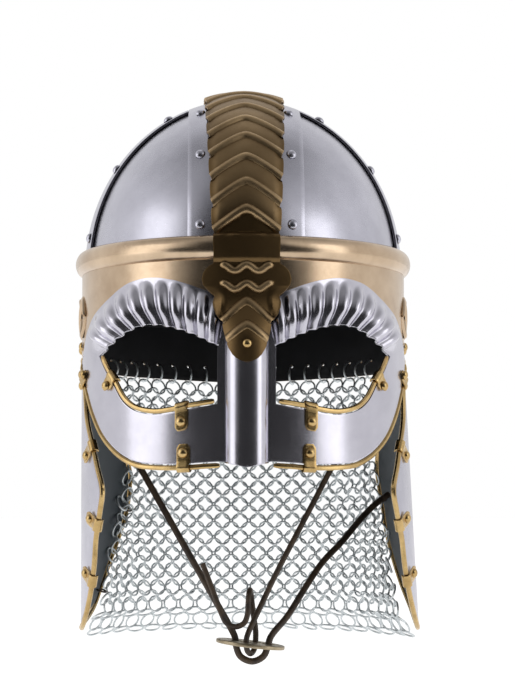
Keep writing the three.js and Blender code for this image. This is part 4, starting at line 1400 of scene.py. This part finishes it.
# %% [markdown]
# ## Strap disc
# Both thongs pass through four holes of a small brass disc, which slides up to tighten the
# strap. The holes are drilled through a short cylinder with a Boolean, a Bevel rounds all its
# edges like a worn coin's, and then it is tilted into its place.

# %% Strap disc
DISC_RADIUS = 20.5
DISC_WALL = 2.2
DISC_CENTRE = (3.5, -55.2, -176.9)
DISC_TILT = math.radians(6.8)
HOLE_CLEARANCE = 1.9
DISC_HOLES = [
    (-5, -55.2, OUTER_THONG / 2), (14, -55, OUTER_THONG / 2), (0.8, -61.3, INNER_THONG / 2),
    (6.6, -49, INNER_THONG / 2),
]


def cylinder(radius, depth, sides, x=0.0, y=0.0):
    made = pick(primitive("cylinder", vertices=sides, radius=radius * MM, depth=depth * MM,
                          location=(x * MM, y * MM, 0)))
    bpy.ops.object.transform_apply(location=True, rotation=True, scale=True)
    return made


def make_disc():
    disc = cylinder(DISC_RADIUS, DISC_WALL, 64)
    drills = []
    for x, y, thong_radius in DISC_HOLES:
        hole = (x - DISC_CENTRE[0], y - DISC_CENTRE[1])
        drills.append(cylinder(thong_radius + HOLE_CLEARANCE, DISC_WALL * 3, 24, *hole))
    cut_away(disc, drills)
    ease_edges(disc, 0.5, segments=3)
    tilt = Matrix.Rotation(DISC_TILT, 4, "Y")
    disc.data.transform(Matrix.Translation(Vector(DISC_CENTRE) * MM) @ tilt)
    disc.name = "chin_disc"
    return smooth(disc)


chin_disc = dress(make_disc(), "disc_brass", "strap_disc")
dress(outer_thong, "leather", "thong_outer")
dress(inner_thong, "leather", "thong_inner")

# %% [markdown]
# ## Finishes
# The finishes share three effects, so each is a node group with its own values in each
# material: a fine brushed grain, cloudy patina, and the height of chased work, which the crest's
# finish uses to paint shade into the hollows and leave the ridges their plain colour. The groups
# give masks and heights only. The shader itself stays in each material.

# %% Shared effects
def new_group(name, inputs, outputs):
    group = bpy.data.node_groups.new(name, "ShaderNodeTree")
    for socket, kind, value in inputs:
        made = group.interface.new_socket(name=socket, in_out="INPUT", socket_type=kind)
        made.default_value = value
    for socket, kind in outputs:
        group.interface.new_socket(name=socket, in_out="OUTPUT", socket_type=kind)
    first = group.nodes.new("NodeGroupInput")
    last = group.nodes.new("NodeGroupOutput")
    return group, first, last


def feed(tree, socket, value):
    """Link a node's output to the socket, or set the socket to a constant."""
    if hasattr(value, "is_output"):
        tree.links.new(value, socket)
    else:
        socket.default_value = value


def add_node(tree, kind, inputs=None, **settings):
    node = tree.nodes.new("ShaderNode" + kind)
    for key, value in settings.items():
        setattr(node, key, value)
    for key, value in (inputs or {}).items():
        feed(tree, node.inputs[key], value)
    return node


def object_place(tree):
    return add_node(tree, "TexCoord").outputs["Object"]


def math_node(tree, operation, a, b=None, clamp=False):
    inputs = {0: a} if b is None else {0: a, 1: b}
    return add_node(tree, "Math", inputs, operation=operation, use_clamp=clamp).outputs[0]


def spread(tree, value, low, high, to_low=0.0, to_high=1.0):
    limits = {"From Min": low, "From Max": high, "To Min": to_low, "To Max": to_high}
    return add_node(tree, "MapRange", {"Value": value, **limits}).outputs["Result"]


def brushed_grain():
    group, first, last = new_group(
        "Brushed grain",
        [("Along", "NodeSocketVector", (1, 1, 1)), ("Scale", "NodeSocketFloat", 900)],
        [("Streaks", "NodeSocketFloat"), ("Clouds", "NodeSocketFloat")])
    place = object_place(group)
    stretch = add_node(group, "VectorMath", {0: place, 1: first.outputs["Along"]},
                       operation="MULTIPLY").outputs[0]
    grain = {"Vector": stretch, "Scale": first.outputs["Scale"], "Detail": 3}
    broad = {"Vector": place, "Scale": 38, "Detail": 4}
    for key, inputs in (("Streaks", grain), ("Clouds", broad)):
        noise = add_node(group, "TexNoise", inputs)
        feed(group, last.inputs[key], noise.outputs["Fac"])
    return group


def patina():
    group, first, last = new_group(
        "Patina", [("Scale", "NodeSocketFloat", 60), ("Amount", "NodeSocketFloat", 0.5)],
        [("Mask", "NodeSocketFloat")])
    noise = add_node(group, "TexNoise", {
        "Vector": object_place(group), "Scale": first.outputs["Scale"], "Detail": 6,
        "Roughness": 0.65})
    wide = spread(group, noise.outputs["Fac"], 0.35, 0.68)
    mask = math_node(group, "MULTIPLY", wide, first.outputs["Amount"], clamp=True)
    feed(group, last.inputs["Mask"], mask)
    return group


def chased_relief():
    group, first, last = new_group(
        "Chased relief", [("Low", "NodeSocketFloat", 0), ("High", "NodeSocketFloat", 1)],
        [("Ridge", "NodeSocketFloat")])
    mark = add_node(group, "Attribute", attribute_name="relief").outputs["Fac"]
    fit = spread(group, mark, first.outputs["Low"], first.outputs["High"])
    feed(group, last.inputs["Ridge"], fit)
    return group


GRAIN, PATINA, CHASED = brushed_grain(), patina(), chased_relief()

# %% [markdown]
# ## Metals
# Polished steel and brass differ mostly in colour and in how much shade is painted into their
# hollows. So one function builds a metal from a short list of its properties: two colours that
# the patina mixes, a colour of painted shade for the hollows, a roughness, and the depth of its
# grain.

# %% Metals
def srgb(code):
    """A linear colour from a hex code."""
    parts = [int(code[i:i + 2], 16) / 255 for i in (0, 2, 4)]
    return (*(p / 12.92 if p < 0.04045 else ((p + 0.055) / 1.055) ** 2.4 for p in parts), 1)


def use(tree, group, **values):
    """The group's outputs, with these values set on its inputs."""
    return add_node(tree, "Group", values, node_tree=group).outputs


def blend(tree, share, a, b):
    node = add_node(tree, "Mix", data_type="RGBA")
    for key, value in (("Factor", share), ("A", a), ("B", b)):
        feed(tree, node.inputs[key], value)
    return node.outputs["Result"]


def new_material(name):
    material = bpy.data.materials.new(name)
    material.use_nodes = True
    tree = material.node_tree
    return material, tree, tree.nodes["Principled BSDF"].inputs


def bump(tree, surface, height, strength, depth):
    """Raise the surface by a height map, at most depth mm."""
    inputs = {"Strength": strength, "Distance": depth * MM, "Height": height}
    feed(tree, surface["Normal"], add_node(tree, "Bump", inputs).outputs["Normal"])


def metal(name, bright, dull, rough, along=(1, 1, 6), patina_scale=45.0, patina_amount=0.6,
          hollow_shade=None, relief=(0.0, 1.0), grain=0.02):
    material, tree, surface = new_material(name)
    surface["Metallic"].default_value = 1.0
    streaks = use(tree, GRAIN, Along=along, Scale=420)
    cloud = use(tree, PATINA, Scale=patina_scale, Amount=patina_amount)
    colour = blend(tree, cloud["Mask"], srgb(bright), srgb(dull))
    # Painted shade: the hollow colour darkens the low parts of the chased relief, where shade
    # falls.
    if hollow_shade:
        ridge = use(tree, CHASED, Low=relief[0], High=relief[1])
        colour = blend(tree, ridge["Ridge"], srgb(hollow_shade), colour)
    feed(tree, surface["Base Color"], colour)
    uneven = math_node(tree, "ADD", streaks["Streaks"], streaks["Clouds"])
    feed(tree, surface["Roughness"], spread(tree, uneven, 0.6, 1.4, *rough))
    bump(tree, surface, streaks["Streaks"], 0.25, grain)
    return material


FINISHES = {
    "bowl_steel": metal("satin bowl steel", "c4c3ce", "aeadb8", (0.24, 0.34)),
    "mask_steel": metal("polished mask steel", "c9c7d1", "b6b4be", (0.17, 0.26)),
    "cheek_steel": metal("satin cheek steel", "c2c0cb", "a9a8b3", (0.24, 0.34)),
    "mail_steel": metal("mail wire steel", "e4e8ea", "b9c0c2", (0.38, 0.55),
                        along=(1, 1, 1), patina_scale=160, patina_amount=0.8),
    # the crest's hollow colour is painted shade in the hollows of its chasing
    "crest_brass": metal("aged crest brass", "bda27c", "8f7656", (0.32, 0.48), hollow_shade="705a3c",
                         relief=(0.1, 1.7), patina_scale=55),
    "brow_brass": metal("brow band brass", "cdb69b", "a88f74", (0.18, 0.28), along=(1, 1, 8)),
    "trim_brass": metal("trim brass", "cfb27c", "957545", (0.2, 0.3), patina_scale=90),
    "disc_brass": metal("worn disc brass", "b3a58c", "7f735d", (0.3, 0.5), patina_scale=110),
}


# %% [markdown]
# ## Leather
# The thongs and hinges are vegetable-tanned leather gone nearly black, with lighter brown
# patches where they have been bent and rubbed, and a pebbled grain.

# %% Leather
def leather():
    material, tree, surface = new_material("dark strap leather")
    cloud = use(tree, PATINA, Scale=130, Amount=0.8)
    colour = blend(tree, cloud["Mask"], srgb("2a1f17"), srgb("574532"))
    feed(tree, surface["Base Color"], colour)
    pebbles = add_node(tree, "TexVoronoi", {"Vector": object_place(tree), "Scale": 1400})
    pebble = pebbles.outputs["Distance"]
    feed(tree, surface["Roughness"], spread(tree, pebble, 0, 1, 0.42, 0.62))
    bump(tree, surface, pebble, 0.5, 0.15)
    return material


FINISHES["leather"] = leather()

# %% [markdown]
# ## Painted shade inside
# Inside, the bowl, the brow band, the mask and the crest get painted shade, near black, and the
# cheek plates a dark slate grey. So each sheet gets a second finish on the faces that look
# towards the head, found by their normals.

# %% Insides
INWARD = -0.35


# A dark inside finish, mottled by the patina mask; on the bowl, brow band, mask and crest it is
# painted shade.
def shaded_inside(name, colour, worn):
    material, tree, surface = new_material(name)
    cloud = use(tree, PATINA, Scale=70, Amount=0.7)["Mask"]
    feed(tree, surface["Base Color"], blend(tree, cloud, srgb(colour), srgb(worn)))
    feed(tree, surface["Roughness"], spread(tree, cloud, 0, 1, 0.45, 0.65))
    return material


# Painted shade: the near-black inside colour stands for the shade inside the helmet; the cheek
# plates get a dark slate grey.
SHADED_INSIDES = {
    "bowl_steel": shaded_inside("painted shade inside", "0c0c10", "16161b"),
    "cheek_steel": shaded_inside("slate inside", "3d444a", "50585d"),
}
SHADED_INSIDES["brow_brass"] = SHADED_INSIDES["mask_steel"] = SHADED_INSIDES["crest_brass"] = SHADED_INSIDES["bowl_steel"]


def line_inside(piece, material):
    piece.data.materials.append(material)
    for face in piece.data.polygons:
        if face.normal.dot(away_from_head(face.center).normalized()) < INWARD:
            face.material_index = 1


for piece in dressed:
    piece.data.materials.clear()
    piece.data.materials.append(FINISHES[piece["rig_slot"]])
    if piece["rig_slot"] in SHADED_INSIDES:
        line_inside(piece, SHADED_INSIDES[piece["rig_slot"]])
print("finishes:", len(FINISHES))

# %% [markdown]
# ## Floor and light
# The helmet is shown as a head would hold it, over a plain pale floor. Two broad soft boxes stand
# at the sides and give the brightest strips in the polished metal.

# %% Floor
FLOOR_DROP = 0.03
FLOOR_GLOW = 0.55
FLOOR_SIZE = 8
FLOOR_BACK = 3.5


def make_floor():
    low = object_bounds()[0][2] - FLOOR_DROP
    floor = primitive("plane", size=FLOOR_SIZE, location=(0, FLOOR_BACK, low))
    floor.name = "floor"
    pick(floor)
    bpy.ops.object.transform_apply(location=True, rotation=True, scale=True)
    material, _, surface = new_material("pale floor")
    surface["Base Color"].default_value = (0.9, 0.9, 0.9, 1)
    surface["Roughness"].default_value = 0.8
    surface["Emission Color"].default_value = (1, 1, 1, 1)
    surface["Emission Strength"].default_value = FLOOR_GLOW
    floor.data.materials.append(material)


make_floor()


# %% Lights
def soft_box(name, place, aim, size, power):
    data = bpy.data.lights.new(name, "AREA")
    data.shape = "RECTANGLE"
    data.size, data.size_y = size
    data.energy = power
    light = new_object(name, data)
    light.location = place
    light.rotation_euler = (Vector(aim) - Vector(place)).to_track_quat("-Z", "Y").to_euler()


soft_box("left box", (-1.35, -0.35, 0.2), (0, 0, 0), (0.8, 1.3), 3.2)
soft_box("right box", (1.3, -0.6, 0.15), (0, 0, 0), (0.6, 1.3), 2.8)

# %% [markdown]
# Metal shows what is round it. The room is dark behind the camera, white at both sides and behind
# the helmet, and mid grey overhead, with soft borders. It is worked out from the direction alone,
# as degrees turned from the camera's side and degrees up.

# %% The room
DARK_ROOM = 0.035
WHITE_WALL = 0.88
GREY_CEILING = 0.34
# degrees turned away from the camera's side
DARK_TO, WHITE_FROM = 58, 76
BEHIND = (120, 165)
# the dark part narrows above the horizon: degrees up, from and to, and by how many degrees
NARROWS = (2, 6, 0, 18)
RIGHT_NARROWS = (5, 26, 0, 17)
RIGHT_SHARE = (-0.3, 0.3, 0.1, 1)
CEILING_RISES = (30, 66)


def studio_world():
    world = bpy.data.worlds.new("studio")
    world.use_nodes = True
    bpy.context.scene.world = world
    tree = world.node_tree
    direction = add_node(tree, "TexCoord").outputs["Generated"]
    x, y, z = add_node(tree, "SeparateXYZ", {0: direction}).outputs[:3]

    def work(operation, a, b=None):
        return math_node(tree, operation, a, b)
    beside, front = work("ABSOLUTE", x), work("MULTIPLY", y, -1.0)
    turned = work("DEGREES", work("ARCTAN2", beside, front))
    up = work("DEGREES", work("ARCSINE", z))
    on_right = work("MULTIPLY", spread(tree, up, *RIGHT_NARROWS), spread(tree, x, *RIGHT_SHARE))
    narrowed = work("ADD", spread(tree, up, *NARROWS), on_right)
    share = spread(tree, work("ADD", turned, narrowed), DARK_TO, WHITE_FROM)
    walls = spread(tree, share, 0, 1, DARK_ROOM, WHITE_WALL)
    overhead, ahead = spread(tree, up, *CEILING_RISES), spread(tree, turned, *BEHIND, 1, 0)
    change = work("SUBTRACT", GREY_CEILING, walls)
    fade = work("MULTIPLY", work("MULTIPLY", overhead, ahead), change)
    room = tree.nodes["Background"]
    feed(tree, room.inputs["Color"], work("ADD", walls, fade))
    seen = add_node(tree, "Background", {"Color": (1, 1, 1, 1)})
    path = add_node(tree, "LightPath")
    choose = add_node(tree, "MixShader", {
        "Fac": path.outputs["Is Camera Ray"], 1: room.outputs[0], 2: seen.outputs[0]})
    feed(tree, tree.nodes["World Output"].inputs["Surface"], choose.outputs[0])


studio_world()
bpy.context.scene.view_settings.view_transform = "Standard"

# %% Count of pieces
print("pieces:", len(dressed))
